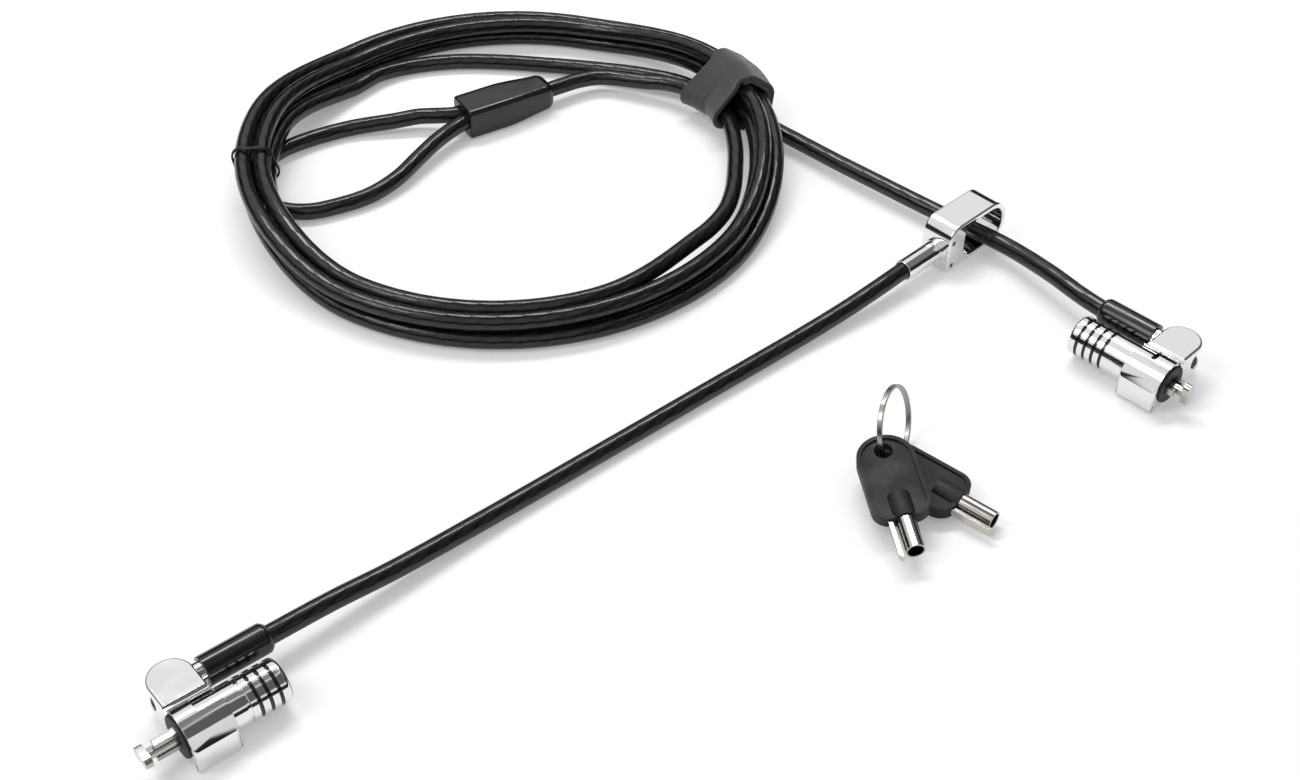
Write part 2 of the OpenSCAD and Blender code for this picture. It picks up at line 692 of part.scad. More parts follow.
// A solid along the ring's y axis from y0 to y1 at the crimp tube's height
module crimp_rod(y0, y1, r) {
    translate([0, y0, crimp_z]) rotate([-90, 0, 0]) cylinder(h = y1 - y0, r = r, $fn = round_fn);
}
module slider_ring() {
    color(bright_metal) at_slider() difference() {
        union() {
            across_cable(ring_len) ring_outline();
            crimp_rod(foot_left - crimp_ring_t, foot_left, crimp_ring_d/2);
        }
        across_cable(ring_len + 2*cut) ring_opening();
        crimp_rod(foot_left - 2*cut, foot_left + socket_depth, crimp_d/2);
        for (z = [crimp_z - foot_pin_rise, crimp_z + foot_pin_rise])
            translate([0, foot_pin_y, z]) rod(-ring_len, ring_len, foot_pin_d/2);
    }
}
module slider_crimp_tube() {
    color(bright_metal) at_slider() difference() {
        crimp_rod(foot_left - crimp_len, foot_left + socket_depth, crimp_d/2);
        crimp_rod(foot_left - crimp_len - cut, foot_left + socket_depth - 1,
                  cable_d/2 + sleeve_fit);
    }
}
module slider_pins() {
    color(satin_metal) at_slider() for (z = [crimp_z - foot_pin_rise, crimp_z + foot_pin_rise])
        translate([0, foot_pin_y, z]) rod(-ring_len/2, ring_len/2, foot_pin_d/2);
}

// ==== cables: each ends square on the piece that it meets ====
// A point beside x, y in a placed frame [x, y, direction]
function placed(place, x, y, z) =
    [place[0] + x*cos(place[2]) - y*sin(place[2]), place[1] + x*sin(place[2]) + y*cos(place[2]), z];
function head_end(place, side) =
    [for (x = [cable_start, (cable_start + sleeve_back)/2, sleeve_back])
        placed(place, x, side*knuckle_y, axis_z + fitting_z)];
function reversed(p) = [for (i = [len(p) - 1:-1:0]) p[i]];
lead_line = concat(head_end(main_place, 1), lead_route, [coil_lead_in(2), coil_lead_in(1)]);
ferrule_line = concat([coil_lead_out(1), coil_lead_out(2)], ferrule_route,
    [for (x = [cover_len + cable_d, cover_len, leg_depth + ferrule_len])
        placed(cover_place, x, 0, cover_z)]);
// The legs of the loop start to bend a little outside the cover
leg_out = -1;
loop_line = concat([for (x = [leg_depth, leg_out]) placed(cover_place, x, leg_y, cover_z)],
    loop_route, [for (x = [leg_out, leg_depth]) placed(cover_place, x, -leg_y, cover_z)]);
branch_line = concat(
    [for (y = [foot_left + socket_depth - 1, foot_left - crimp_len])
        placed(slider_place, 0, y, crimp_z)],
    branch_route, reversed(head_end(branch_place, -1)));

module cable_coil() { color(sheath_black) swept_tube(coil_path, cable_d/2, coil_sides); }
module main_lead() { color(sheath_black) swept_tube(lead_line, cable_d/2, tube_sides); }
module ferrule_lead() { color(sheath_black) swept_tube(ferrule_line, cable_d/2, tube_sides); }
module end_loop() { color(sheath_black) swept_tube(loop_line, cable_d/2, tube_sides); }
module branch_cable() { color(sheath_black) swept_tube(branch_line, cable_d/2, tube_sides); }

// ==== ferrule cover: a tapered moulding with chamfered long edges, along its own x axis ====
module at_cover() {
    translate([cover_place[0], cover_place[1], cover_z]) rotate(cover_place[2]) children();
}
// Outline of the cover in plan or from the side: full at the loop end, narrow and cut at the far end
module cover_profile(full, tip) {
    polygon([
        [0, -full/2 + cover_nick], [cover_nick, -full/2], [cover_full_len, -full/2],
        [cover_len - cover_end, -tip/2], [cover_len, -tip/2 + cover_end],
        [cover_len, tip/2 - cover_end], [cover_len - cover_end, tip/2],
        [cover_full_len, full/2], [cover_nick, full/2], [0, full/2 - cover_nick]]);
}
module leg_bores(r, depth) {
    for (y = [-leg_y, leg_y]) translate([0, y, 0]) rod(-cut, depth, r);
}
module ferrule_body(x0, x1) {
    block([x0, -leg_y, -ferrule_r], [x1, leg_y, ferrule_r]);
    for (y = [-leg_y, leg_y]) translate([0, y, 0]) rod(x0, x1, ferrule_r);
}
module ferrule_cover() {
    color(moulded_black) at_cover() difference() {
        intersection() {
            translate([0, 0, -cover_h]) linear_extrude(2*cover_h)
                cover_profile(cover_w, cover_tip_w);
            rotate([90, 0, 0]) translate([0, 0, -cover_w]) linear_extrude(2*cover_w)
                cover_profile(cover_h, cover_tip_h);
            // Chamfers along the long edges
            rotate([45, 0, 0]) block([-cut, -chamfer_half, -chamfer_half],
                                     [cover_len + cut, chamfer_half, chamfer_half]);
        }
        leg_bores(cable_d/2 + sleeve_fit, leg_depth);
        ferrule_body(leg_depth - fit_overlap, leg_depth + ferrule_len);
        rod(leg_depth + ferrule_len - fit_overlap, cover_len + cut, cable_d/2 + sleeve_fit);
    }
}
module loop_ferrule() {
    color(satin_metal) at_cover() ferrule_body(leg_depth, leg_depth + ferrule_len);
}

// ==== strap and tie: closed bands round the strands that pass through them ====
function divided(p, n) =
    [for (i = [0:len(p) - 2]) for (k = [0:n - 1]) p[i] + (p[i + 1] - p[i])*k/n];
band_line = concat(gap_line, divided(coil_path, 4), divided(lead_line, 12),
                   divided(ferrule_line, 12), divided(loop_line, 12));
// Across, along and up, seen from a band at place [x, y, direction across]
function in_band(p, place) =
    let (c = cos(place[2]), s = sin(place[2]), d = [p[0] - place[0], p[1] - place[1]])
    [d[0]*c + d[1]*s, -d[0]*s + d[1]*c, p[2]];
module strand_outline(place, half_w, grow) {
    intersection() {
        hull() for (p = band_line) let (q = in_band(p, place))
            if (abs(q[1]) <= half_w && abs(q[0]) < band_reach)
                translate([q[0], q[2]]) circle(cable_d/2 + grow, $fn = hull_fn);
        // It lies on the table
        translate([-2*band_reach, 0]) square([4*band_reach, 2*band_reach]);
    }
}
module band(place, width, thick, gap, margin) {
    translate([place[0], place[1], 0]) rotate(place[2]) rotate([90, 0, 0])
        translate([0, 0, -width/2]) linear_extrude(width) difference() {
            strand_outline(place, width/2 + margin, gap + thick);
            strand_outline(place, width/2 + margin, gap);
        }
}
module hook_loop_strap() {
    color(strap_grey) {
        band(strap_place, strap_w, strap_t, band_gap, band_margin);
        // Free tail, laid over the top and the outer side
        translate([strap_place[0], strap_place[1], 0]) rotate(strap_place[2]) rotate([90, 0, 0])
            translate([0, 0, -strap_w/2 + tail_inset]) linear_extrude(strap_w - 2*tail_inset)
                intersection() {
                    difference() {
                        strand_outline(strap_place, strap_w/2 + band_margin,
                                       band_gap + 2*strap_t);
                        strand_outline(strap_place, strap_w/2 + band_margin,
                                       band_gap + strap_t - fit_overlap);
                    }
                    translate([tail_from[0], tail_from[1]]) square(band_reach);
                }
    }
}
module wire_tie() { color(moulded_black) band(tie_place, tie_w, tie_t, tie_gap, band_margin); }

// ==== keys: along their own x axis, with the ring's hole at the origin ====
bow_end = bow_len - ring_hole_inset;
module bow_outline(inset) {
    r = bow_w/2 - inset;
    corner = bow_corner - inset;
    round_x = bow_w/2 - ring_hole_inset;
    end = bow_end - inset;
    translate([round_x, 0]) circle(r, $fn = round_fn);
    translate([round_x, -r]) square([end - corner - round_x, 2*r]);
    translate([end - 2*corner, -r + corner]) square([2*corner, 2*r - 2*corner]);
    for (y = [-r + corner, r - corner]) translate([end - corner, y]) circle(corner, $fn = round_fn);
}
module key_bow() {
    difference() {
        union() {
            translate([0, 0, -bow_t/2]) linear_extrude(bow_t) bow_outline(0);
            rod(bow_end - hub_len, bow_end, hub_d/2);
        }
        for (m = [0, 1]) mirror([0, 0, m]) difference() {
            translate([0, 0, bow_t/2 - panel_depth]) linear_extrude(bow_t) bow_outline(edge_w);
            rod(bow_end - hub_len, bow_end, hub_d/2);
        }
        translate([0, 0, -bow_t]) cylinder(h = 2*bow_t, d = ring_hole_d, $fn = round_fn);
        rod(bow_end - blade_seat, bow_end + cut, tube_d/2);
        prong();
    }
}
module prong() {
    y = tube_d/2 + prong_gap;
    x1 = bow_end + tube_len;
    translate([0, 0, -prong_w/2]) linear_extrude(prong_w)
        polygon([[bow_end - blade_seat, -y], [x1 + prong_reach, -y],
                 [x1 + prong_reach - prong_t, -y - prong_t], [bow_end - blade_seat, -y - prong_t]]);
}
module key_blade() {
    difference() {
        rod(bow_end - blade_seat, bow_end + tube_len, tube_d/2);
        rod(bow_end, bow_end + tube_len + cut, tube_bore_d/2);
    }
    prong();
}
ring_u = [cos(key_ring_dir), sin(key_ring_dir), 0];
ring_n = [-sin(key_ring_dir), cos(key_ring_dir), 0];
key_ring_z = key_ring_r*cos(key_ring_lean) + key_ring_w/2*sin(key_ring_lean);
ring_centre = [key_hole[0], key_hole[1], 0] + hole_a_out*ring_u
    + (key_ring_z - key_a_z)*tan(key_ring_lean)*ring_n;
function hole_at(out, z) = ring_centre - out*ring_u
    - (key_ring_z - z)*tan(key_ring_lean)*ring_n + [0, 0, z];
module at_key_a() {
    translate(hole_at(hole_a_out, key_a_z)) rotate([0, 0, key_a_yaw])
        rotate([0, key_a_pitch, 0]) rotate([key_a_roll, 0, 0]) children();
}
module at_key_b() {
    translate(hole_at(hole_b_out, key_b_z)) rotate([0, 0, key_b_yaw])
        rotate([0, key_b_pitch, 0]) children();
}
module key_ring() {
    color(satin_metal) translate(ring_centre + [0, 0, key_ring_z]) rotate([0, 0, key_ring_dir])
        rotate([90 - key_ring_lean, 0, 0]) difference() {
            cylinder(h = key_ring_w, r = key_ring_r, center = true, $fn = round_fn);
            cylinder(h = 2*key_ring_w, r = key_ring_r - key_ring_t, center = true, $fn = round_fn);
        }
}
module key_a_bow() { color(moulded_black) at_key_a() key_bow(); }
module key_a_blade() { color(bright_metal) at_key_a() key_blade(); }
module key_b_bow() { color(moulded_black) at_key_b() key_bow(); }
module key_b_blade() { color(bright_metal) at_key_b() key_blade(); }

cable_coil();
main_lead();
ferrule_lead();
end_loop();
branch_cable();
ferrule_cover();
loop_ferrule();
hook_loop_strap();
wire_tie();
slider_ring();
slider_crimp_tube();
slider_pins();
main_collar();
main_pivot_pin();
main_end_fitting();
main_crimp_collar();
main_sleeve();
main_guide_sleeve();
main_nose_bumper();
main_retaining_ring();
main_return_spring();
main_barrel();
main_lock_pins();
main_lock_core();
main_tumblers();
main_t_bar();
branch_collar();
branch_pivot_pin();
branch_end_fitting();
branch_crimp_collar();
branch_sleeve();
branch_guide_sleeve();
branch_nose_bumper();
branch_retaining_ring();
branch_return_spring();
branch_barrel();
branch_lock_pins();
branch_lock_core();
branch_tumblers();
branch_t_bar();
key_ring();
key_a_bow();
key_a_blade();
key_b_bow();
key_b_blade();
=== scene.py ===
"""Dresses the laptop cable lock: sheathed cables, strap, plated lock heads, slider and keys."""

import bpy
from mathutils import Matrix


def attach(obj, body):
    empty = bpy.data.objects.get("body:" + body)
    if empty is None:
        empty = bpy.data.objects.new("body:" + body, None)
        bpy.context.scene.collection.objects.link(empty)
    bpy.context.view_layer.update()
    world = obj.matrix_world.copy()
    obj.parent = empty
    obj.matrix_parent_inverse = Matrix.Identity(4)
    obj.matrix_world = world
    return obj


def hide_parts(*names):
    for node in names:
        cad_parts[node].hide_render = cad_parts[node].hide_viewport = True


bl_info = {
    "name": "Cable lock dressing",
    "version": (1, 0, 0),
    "blender": (4, 5, 0),
    "location": "3D View > Sidebar > Cable lock",
    "description": "Builds the cables, strap, lock heads, slider and keys of a laptop cable lock",
    "category": "Object",
}

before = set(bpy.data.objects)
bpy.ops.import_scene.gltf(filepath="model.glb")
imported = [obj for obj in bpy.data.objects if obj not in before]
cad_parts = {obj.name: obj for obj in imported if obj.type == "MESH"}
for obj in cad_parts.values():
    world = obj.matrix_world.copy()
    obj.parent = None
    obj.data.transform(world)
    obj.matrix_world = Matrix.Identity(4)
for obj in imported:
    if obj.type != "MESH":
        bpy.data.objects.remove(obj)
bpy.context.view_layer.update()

import math
from functools import partial

import bmesh
import bpy
import numpy as np
from mathutils import Vector

MM = 0.001

# ---- places and routes, in millimetres, as the solids have them ----
MAIN_PLACE = (131.8, 22.6, -45.0)
BRANCH_PLACE = (-132.7, -103.7, 219.0)
SLIDER_PLACE = (83.2, 98.7, -46.5)
COVER_PLACE = (-83.5, 161.0, 30.7)
STRAP_PLACE = (8.5, 169.0, 30.0)
TIE_PLACE = (-149.0, 124.0, 187.0)
AXIS_Z = 7.0
KNUCKLE = (-6.3, 12.9)
KNUCKLE_TOP, RIM_FROM = 13.0, 6.2
FITTING_Z = 1.4
CABLE_START = -17.8
SLEEVE_BACK = -33.0
COVER_Z = 5.7
COVER_LEN, COVER_W, COVER_H, COVER_TIP_W, COVER_TIP_H = 34.0, 13.6, 11.4, 9.0, 8.6
SLOT_HALF, SLOT_WALL, EYE_REACH = 2.83, 5.9, 4.8
GROOVE_REACH, GRIP_BACK, GRIP_FRONT = 5.95, -30.0, -19.5
LEG_Y, LEG_DEPTH, LEG_OUT = 2.95, 6.5, -1.0
FERRULE_LEN = 12.0
FOOT_LEFT, CRIMP_LEN, SOCKET_DEPTH, CRIMP_Z = -17.4, 15.5, 6.0, 6.4
RING_LEN, PIN_Y, PIN_RISE, PIN_CLEAR = 11.0, -15.2, 4.25, 1.2
COIL_CENTRE = np.array([-65.5, 134.0, 0.0])
COIL_START, END_DRAW, END_ZONE, CLIMB_HALF = 140.0, 3.0, 0.08, 0.25
LEAD_HUMP = (21.0, 9.0, 46.0, 7.9)
LOOP_HUMP = (185.0, 15.0, 38.0, 6.9)
LEAD_ROUTE = [
    (112.1, 61.9, 8.3), (105, 73, 7.7), (94.2, 88.3, 6.1), (81.8, 101, 5.1), (69.3, 112.1, 5.1),
    (56.1, 124.2, 5.1), (43, 136.6, 4.9), (28.5, 151.2, 4.5), (18.5, 160.7, 4.5),
    (8.5, 170.2, 4.5), (-7, 183.9, 4.5), (-22, 189.9, 4.4), (-40, 195, 3.6), (-56, 198.5, 2.9),
    (-73, 200.7, 2.75), (-90, 200.9, 2.75), (-106.5, 197.2, 2.75)]
FERRULE_ROUTE = [
    (5, 103.8, 8.7), (7.7, 113.7, 9), (8.9, 125, 8.8), (9.4, 140.1, 8.9), (7.3, 156.8, 9),
    (3.4, 166.2, 8.8), (-10.5, 178.6, 7.6), (-22.5, 183.3, 6), (-36.5, 187, 5.2),
    (-44.5, 184.2, 5.6)]
LOOP_ROUTE = [
    (-92, 162.6, 5.5), (-99, 162.8, 5), (-106, 161.6, 4.2), (-122, 158.8, 2.9),
    (-135.5, 152, 2.9), (-143.5, 145, 3.4), (-148.6, 136.5, 3.6), (-150.3, 127, 3.6),
    (-147.3, 118.2, 3.5), (-140, 112.6, 3), (-130.5, 111.4, 2.75), (-120.8, 114.6, 2.75),
    (-111.1, 120, 3), (-102.8, 128.6, 3.7), (-96.4, 139.3, 4.6), (-90.7, 148.3, 5.4)]
BRANCH_ROUTE = [
    (51, 68.4, 5.8), (41, 60, 4.6), (25.4, 47.6, 3.2), (-5.5, 22, 2.75), (-33.8, -1.8, 2.75),
    (-60.2, -24.4, 3.2), (-85.4, -47, 5.2), (-101, -60.6, 7.4)]
BAND_REACH = 30.0
PATH_STEP = 2.0
CABLE_SIDES, TIE_SIDES = 24, 10
STRAP_STEPS, TIE_STEPS = 240, 120
# Free air round the strands under the strap and the tie, and between the strap's two layers
STRAP_AIR, TIE_AIR, LAYER_AIR = 0.45, 0.35, 0.15
# Rounds at the ferrule cover's two ends
COVER_FRONT_R, COVER_BACK_R = 0.9, 3.4
# A point this near to a face counts as on it
NEAR = 0.05
# Lock head, the body that carries its fitting, its place and the side of its knuckle
HEADS = (("main", "cable_set", MAIN_PLACE, 1), ("branch", "slider", BRANCH_PLACE, -1))

# ---- finishing of the solids: what is merged, and the angle from which an edge is rounded ----
MERGE_GAP, SPECK, FLAT_ANGLE, EDGE_ANGLE = 0.002, 0.001, math.radians(0.4), math.radians(35.0)
# Share of the full round on edges that aren't picked as wide
NARROW_SHARE = 0.125

# ---- camera: focal length and frame in pixels, sensor in millimetres, tilt in degrees ----
FOCAL_PX, FRAME_PX, SENSOR = 1900.0, 1300.0, 36.0
CAMERA_PLACE, CAMERA_TILT = (-0.019, -0.385, 0.376), 42.3


# ==== paths ====
def placed(place, x, y, z):
    """Points x along and y beside a place [x, y, direction], at height z."""
    a = math.radians(place[2])
    return (place[0] + x * math.cos(a) - y * math.sin(a),
            place[1] + x * math.sin(a) + y * math.cos(a), z)


def within(place, points):
    """How far points lie along and beside a place [x, y, direction]."""
    a = math.radians(place[2])
    off = points[:, :2] - np.array(place[:2])
    return off @ [math.cos(a), math.sin(a)], off @ [-math.sin(a), math.cos(a)]


def eased(x):
    """Three x squared less two x cubed, held between 0 and 1."""
    c = np.clip(x, 0.0, 1.0)
    return c * c * (3.0 - 2.0 * c)


def hump(angle, shape):
    """Height of a hump round a direction: flat on top, eased down on both sides."""
    centre, flat, ramp, height = shape
    off = np.abs((angle - centre + 180.0) % 360.0 - 180.0)
    return height * (1.0 - eased((off - flat) / ramp))


def coil_line(size, step):
    """The wound part: angle grows with the turn, radius goes out and back, one climb, two humps."""
    turns = size.coil_turns
    pitch = (size.cable_d + size.strand_gap) / MM
    low = size.cable_d / MM / 2.0
    half = turns / 2.0
    t = np.linspace(0.0, turns, int(turns * 2.0 * math.pi * size.coil_r / MM / step))
    angle = COIL_START + 360.0 * t
    radius = (size.coil_r / MM + pitch * (half - np.abs(t - half))
              - END_DRAW * (1.0 - eased(np.minimum(t, turns - t) / END_ZONE)))
    height = (low + pitch * eased((t - half + CLIMB_HALF) / (2.0 * CLIMB_HALF))
              + hump(angle, LOOP_HUMP) + hump(angle, LEAD_HUMP))
    turn = np.radians(angle)
    return COIL_CENTRE + np.stack([radius * np.cos(turn), radius * np.sin(turn), height], 1)


def coil_end(line, angle, steps):
    """A point some cable diameters straight and level beyond an end of the coil."""
    a = math.radians(angle)
    return line + steps * np.array([-math.sin(a), math.cos(a), 0.0])


def through(points, step):
    """A centripetal spline through the points, walked at even steps."""
    p = np.asarray(points, float)
    p = np.vstack([2 * p[0] - p[1], p, 2 * p[-1] - p[-2]])
    knots = np.concatenate([[0.0], np.cumsum(np.sqrt(np.linalg.norm(np.diff(p, axis=0), axis=1)))])
    pieces = []
    for i in range(1, len(p) - 2):
        t = np.linspace(knots[i], knots[i + 1], 24, endpoint=False)[:, None]
        a = [((knots[i + k] - t) * p[i + k - 1] + (t - knots[i + k - 1]) * p[i + k])
             / (knots[i + k] - knots[i + k - 1]) for k in (0, 1, 2)]
        b = [((knots[i + 1 + k] - t) * a[k] + (t - knots[i + k - 1]) * a[k + 1])
             / (knots[i + 1 + k] - knots[i + k - 1]) for k in (0, 1)]
        pieces.append(((knots[i + 1] - t) * b[0] + (t - knots[i]) * b[1])
                      / (knots[i + 1] - knots[i]))
    return evenly(np.vstack(pieces + [p[-2][None]]), step)


def distances(line):
    """The distance walked along a line at each of its points."""
    return np.concatenate([[0.0], np.cumsum(np.linalg.norm(np.diff(line, axis=0), axis=1))])


def evenly(line, step):
    """The same line with its points at even distances."""
    run = distances(line)
    count = max(2, int(round(run[-1] / step)) + 1)
    at = np.linspace(0.0, run[-1], count)
    return np.stack([np.interp(at, run, line[:, k]) for k in range(3)], 1)


def head_end(place, side):
    """The straight run of a cable inside a lock head's sleeve."""
    z = AXIS_Z + FITTING_Z
    return [placed(place, x, side * KNUCKLE[1], z)
            for x in (CABLE_START, (CABLE_START + SLEEVE_BACK) / 2, SLEEVE_BACK)]


def main_line(size):
    """Lead, coil and inner run as one line from the lock head to the loop's ferrule."""
    d = size.cable_d / MM
    coil = coil_line(size, PATH_STEP)
    finish = COIL_START + 360.0 * size.coil_turns
    lead = head_end(MAIN_PLACE, 1) + LEAD_ROUTE
    lead += [tuple(coil_end(coil[0], COIL_START, -k * d)) for k in (2, 1)]
    tail = [tuple(coil_end(coil[-1], finish, k * d)) for k in (1, 2)] + FERRULE_ROUTE
    tail += [placed(COVER_PLACE, x, 0, COVER_Z)
             for x in (COVER_LEN + d, COVER_LEN, LEG_DEPTH + FERRULE_LEN)]
    line = np.vstack([through(lead, PATH_STEP), coil, through(tail, PATH_STEP)])
    keep = np.concatenate([[True], np.linalg.norm(np.diff(line, axis=0), axis=1) > 0.2])
    return evenly(line[keep], PATH_STEP)


def loop_line():
    """The eye: out of the cover on one side, round, and back in on the other."""
    ends = [[placed(COVER_PLACE, x, side * LEG_Y, COVER_Z) for x in order]
            for side, order in ((1, (LEG_DEPTH, LEG_OUT)), (-1, (LEG_OUT, LEG_DEPTH)))]
    return through(ends[0] + LOOP_ROUTE + ends[1], PATH_STEP)


def branch_line():
    """From inside the slider's crimp tube to inside the second lock head's sleeve."""
    start = [placed(SLIDER_PLACE, 0, y, CRIMP_Z)
             for y in (FOOT_LEFT + SOCKET_DEPTH - 1, FOOT_LEFT - CRIMP_LEN)]
    return through(start + BRANCH_ROUTE + head_end(BRANCH_PLACE, -1)[::-1], PATH_STEP)


# ==== meshes ====
def mesh_object(name, points, faces, uv=None, smooth=True):
    """A mesh object at the origin from points in metres, with one UV pair for each face corner."""
    mesh = bpy.data.meshes.new(name)
    mesh.from_pydata(points.tolist(), [], faces)
    mesh.polygons.foreach_set("use_smooth", np.full(len(mesh.polygons), smooth))
    if uv is not None:
        layer = mesh.uv_layers.new(name="surface")
        layer.data.foreach_set("uv", np.asarray(uv, np.float32).ravel())
    mesh.validate()
    mesh.update()
    obj = bpy.data.objects.new(name, mesh)
    bpy.context.scene.collection.objects.link(obj)
    return obj


def grid_faces(rows, cols, wrap):
    """Quads of a grid of rows by cols points, closed round the columns where wrap is set."""
    i, k = np.meshgrid(np.arange(rows - 1), np.arange(cols if wrap else cols - 1), indexing="ij")
    n = (k + 1) % cols
    quad = np.stack([i * cols + k, i * cols + n, (i + 1) * cols + n, (i + 1) * cols + k], -1)
    return quad.reshape(-1, 4), i.ravel(), k.ravel()


def shell_faces(rows, cols, turned=True):
    """The quads of a closed tube of rows by cols points with a cap on each end."""
    first = list(range(cols))
    faces = grid_faces(rows, cols, True)[0].tolist()
    faces += [first[::-1], [(rows - 1) * cols + n for n in first]]
    return [face[::-1] for face in faces] if turned else faces


def ring_frames(line):
    """Side and upward directions square to each point's tangent."""
    tangent = np.gradient(line, axis=0)
    tangent /= np.linalg.norm(tangent, axis=1)[:, None]
    side = np.cross([0.0, 0.0, 1.0], tangent)
    side /= np.linalg.norm(side, axis=1)[:, None]
    return side, np.cross(tangent, side)


def rings_round(line, side, up, radius, sides):
    """Rings of points: each the line's point plus radius times cosine and sine of its frame."""
    a = np.linspace(0.0, 2.0 * math.pi, sides, endpoint=False)
    return (line[:, None] + radius * (side[:, None] * np.cos(a)[None, :, None]
                                      + up[:, None] * np.sin(a)[None, :, None])).reshape(-1, 3)


def tube(name, line, radius, sides):
    """A round tube whose UV is the distance along it and the way round it."""
    rings = rings_round(line, *ring_frames(line), radius, sides)
    _, i, k = grid_faces(len(line), sides, True)
    run = distances(line) * MM
    u = np.stack([run[i + 1], run[i + 1], run[i], run[i]], 1)
    v = np.stack([k, k + 1, k + 1, k], 1) / sides
    uv = np.concatenate([np.stack([u, v], -1).reshape(-1, 2), np.zeros((2 * sides, 2))])
    return mesh_object(name, rings * MM, shell_faces(len(line), sides), uv)


def weigh_edges(mesh, wide):
    """Bevel weights: none where the surface runs on, a share on edges, all on wide ones."""
    bm = bmesh.new()
    bm.from_mesh(mesh)
    turned = np.array([len(e.link_faces) == 2 and e.calc_face_angle(0.0) > EDGE_ANGLE
                       for e in bm.edges])
    bm.free()
    point = np.empty(len(mesh.vertices) * 3)
    mesh.vertices.foreach_get("co", point)
    ends = np.empty(len(mesh.edges) * 2, int)
    mesh.edges.foreach_get("vertices", ends)
    middle = point.reshape(-1, 3)[ends.reshape(-1, 2)].mean(axis=1) / MM
    weight = turned * np.where(wide(middle), 1.0, NARROW_SHARE)
    layer = mesh.attributes.new("bevel_weight_edge", "FLOAT", "EDGE")
    layer.data.foreach_set("value", weight.astype(np.float32))


def finished_copy(node, material, body, width, segments=2, clamp=True, wide=None):
    """A merged copy of a CAD solid with small rounds on its edges, in place of that solid."""
    bm = bmesh.new()
    bm.from_mesh(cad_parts[node].data)
    bmesh.ops.remove_doubles(bm, verts=bm.verts, dist=MERGE_GAP * MM)
    bmesh.ops.dissolve_degenerate(bm, dist=SPECK * MM, edges=bm.edges)
    bmesh.ops.dissolve_limit(bm, angle_limit=FLAT_ANGLE, verts=bm.verts, edges=bm.edges)
    mesh = bpy.data.meshes.new(node + "_finish")
    bm.to_mesh(mesh)
    bm.free()
    mesh.polygons.foreach_set("use_smooth", np.full(len(mesh.polygons), True))
    mesh.set_sharp_from_angle(angle=EDGE_ANGLE)
    obj = bpy.data.objects.new(node + "_finish", mesh)
    bpy.context.scene.collection.objects.link(obj)
    mesh.materials.append(material)
    if width > 0:
        bevel = obj.modifiers.new("edge_round", "BEVEL")
        bevel.width = width * MM
        bevel.segments = segments
        bevel.use_clamp_overlap = clamp
        bevel.limit_method = "WEIGHT" if wide else "ANGLE"
        bevel.angle_limit = EDGE_ANGLE
        bevel.harden_normals = True
        if wide:
            weigh_edges(mesh, wide)
    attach(obj, body)
    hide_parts(node)
    return obj


# ==== bands round the strands ====
def strands_in(place, lines, near, far):
    """Where the lines pass a place: across and up, for the points between near and far along it."""
    p = np.vstack([evenly(line, 0.5) for line in lines])
    across, along = within(place, p)
    inside = (along >= near) & (along <= far) & (np.abs(across) < BAND_REACH)
    return np.stack([across[inside], p[inside, 2]], 1)


def wrap_line(points, radius, count):
    """The taut line round circles of one radius: for each direction the furthest point, moved out
    by the radius; even steps, clockwise from the top."""
    a = np.radians(np.linspace(90.0, -270.0, 721)[:-1])
    n = np.stack([np.cos(a), np.sin(a)], 1)
    out = points[np.argmax(points @ n.T, axis=0)] + radius * n
    ring = np.vstack([out, out[:1]])
    run = distances(ring)
    at = np.linspace(0.0, run[-1], count + 1)
    return np.stack([np.interp(at, run, ring[:, k]) for k in range(2)], 1), run[-1]


# ==== node groups ====
def new_group(name, inputs, outputs):
    """A shader node group with float or vector inputs and named outputs."""
    group = bpy.data.node_groups.new(name, "ShaderNodeTree")
    for title, kind, value in inputs:
        socket = group.interface.new_socket(name=title, in_out="INPUT", socket_type=kind)
        if value is not None:
            socket.default_value = value
    for title, kind in outputs:
        group.interface.new_socket(name=title, in_out="OUTPUT", socket_type=kind)
    return group, group.nodes.new("NodeGroupInput"), group.nodes.new("NodeGroupOutput")


def feed(tree, socket, value):
    """Sets a socket to a number, or links another socket to it."""
    if isinstance(value, (int, float)):
        socket.default_value = value
    else:
        tree.links.new(value, socket)


def math_node(tree, kind, a, b=None, clamp=False):
    """One arithmetic node; a and b are sockets or numbers."""
    node = tree.nodes.new("ShaderNodeMath")
    node.operation = kind
    node.use_clamp = clamp
    feed(tree, node.inputs[0], a)
    if b is not None:
        feed(tree, node.inputs[1], b)
    return node.outputs[0]


def times(tree, a, b):
    """The product of two sockets or numbers."""
    return math_node(tree, "MULTIPLY", a, b)


def plus(tree, a, b, clamp=False):
    """The sum of two sockets or numbers."""
    return math_node(tree, "ADD", a, b, clamp)


def minus(tree, a, b):
    """The first socket or number less the second."""
    return math_node(tree, "SUBTRACT", a, b)


def parts_of(tree, vector):
    """The x, y and z sockets of a vector socket."""
    split = tree.nodes.new("ShaderNodeSeparateXYZ")
    tree.links.new(vector, split.inputs[0])
    return split.outputs


def noise_node(tree, vector, scale, detail):
    """A noise over a vector socket; the scale is a socket or a number."""
    node = tree.nodes.new("ShaderNodeTexNoise")
    node.inputs["Detail"].default_value = detail
    feed(tree, node.inputs["Scale"], scale)
    tree.links.new(vector, node.inputs["Vector"])
    return node.outputs["Fac"]


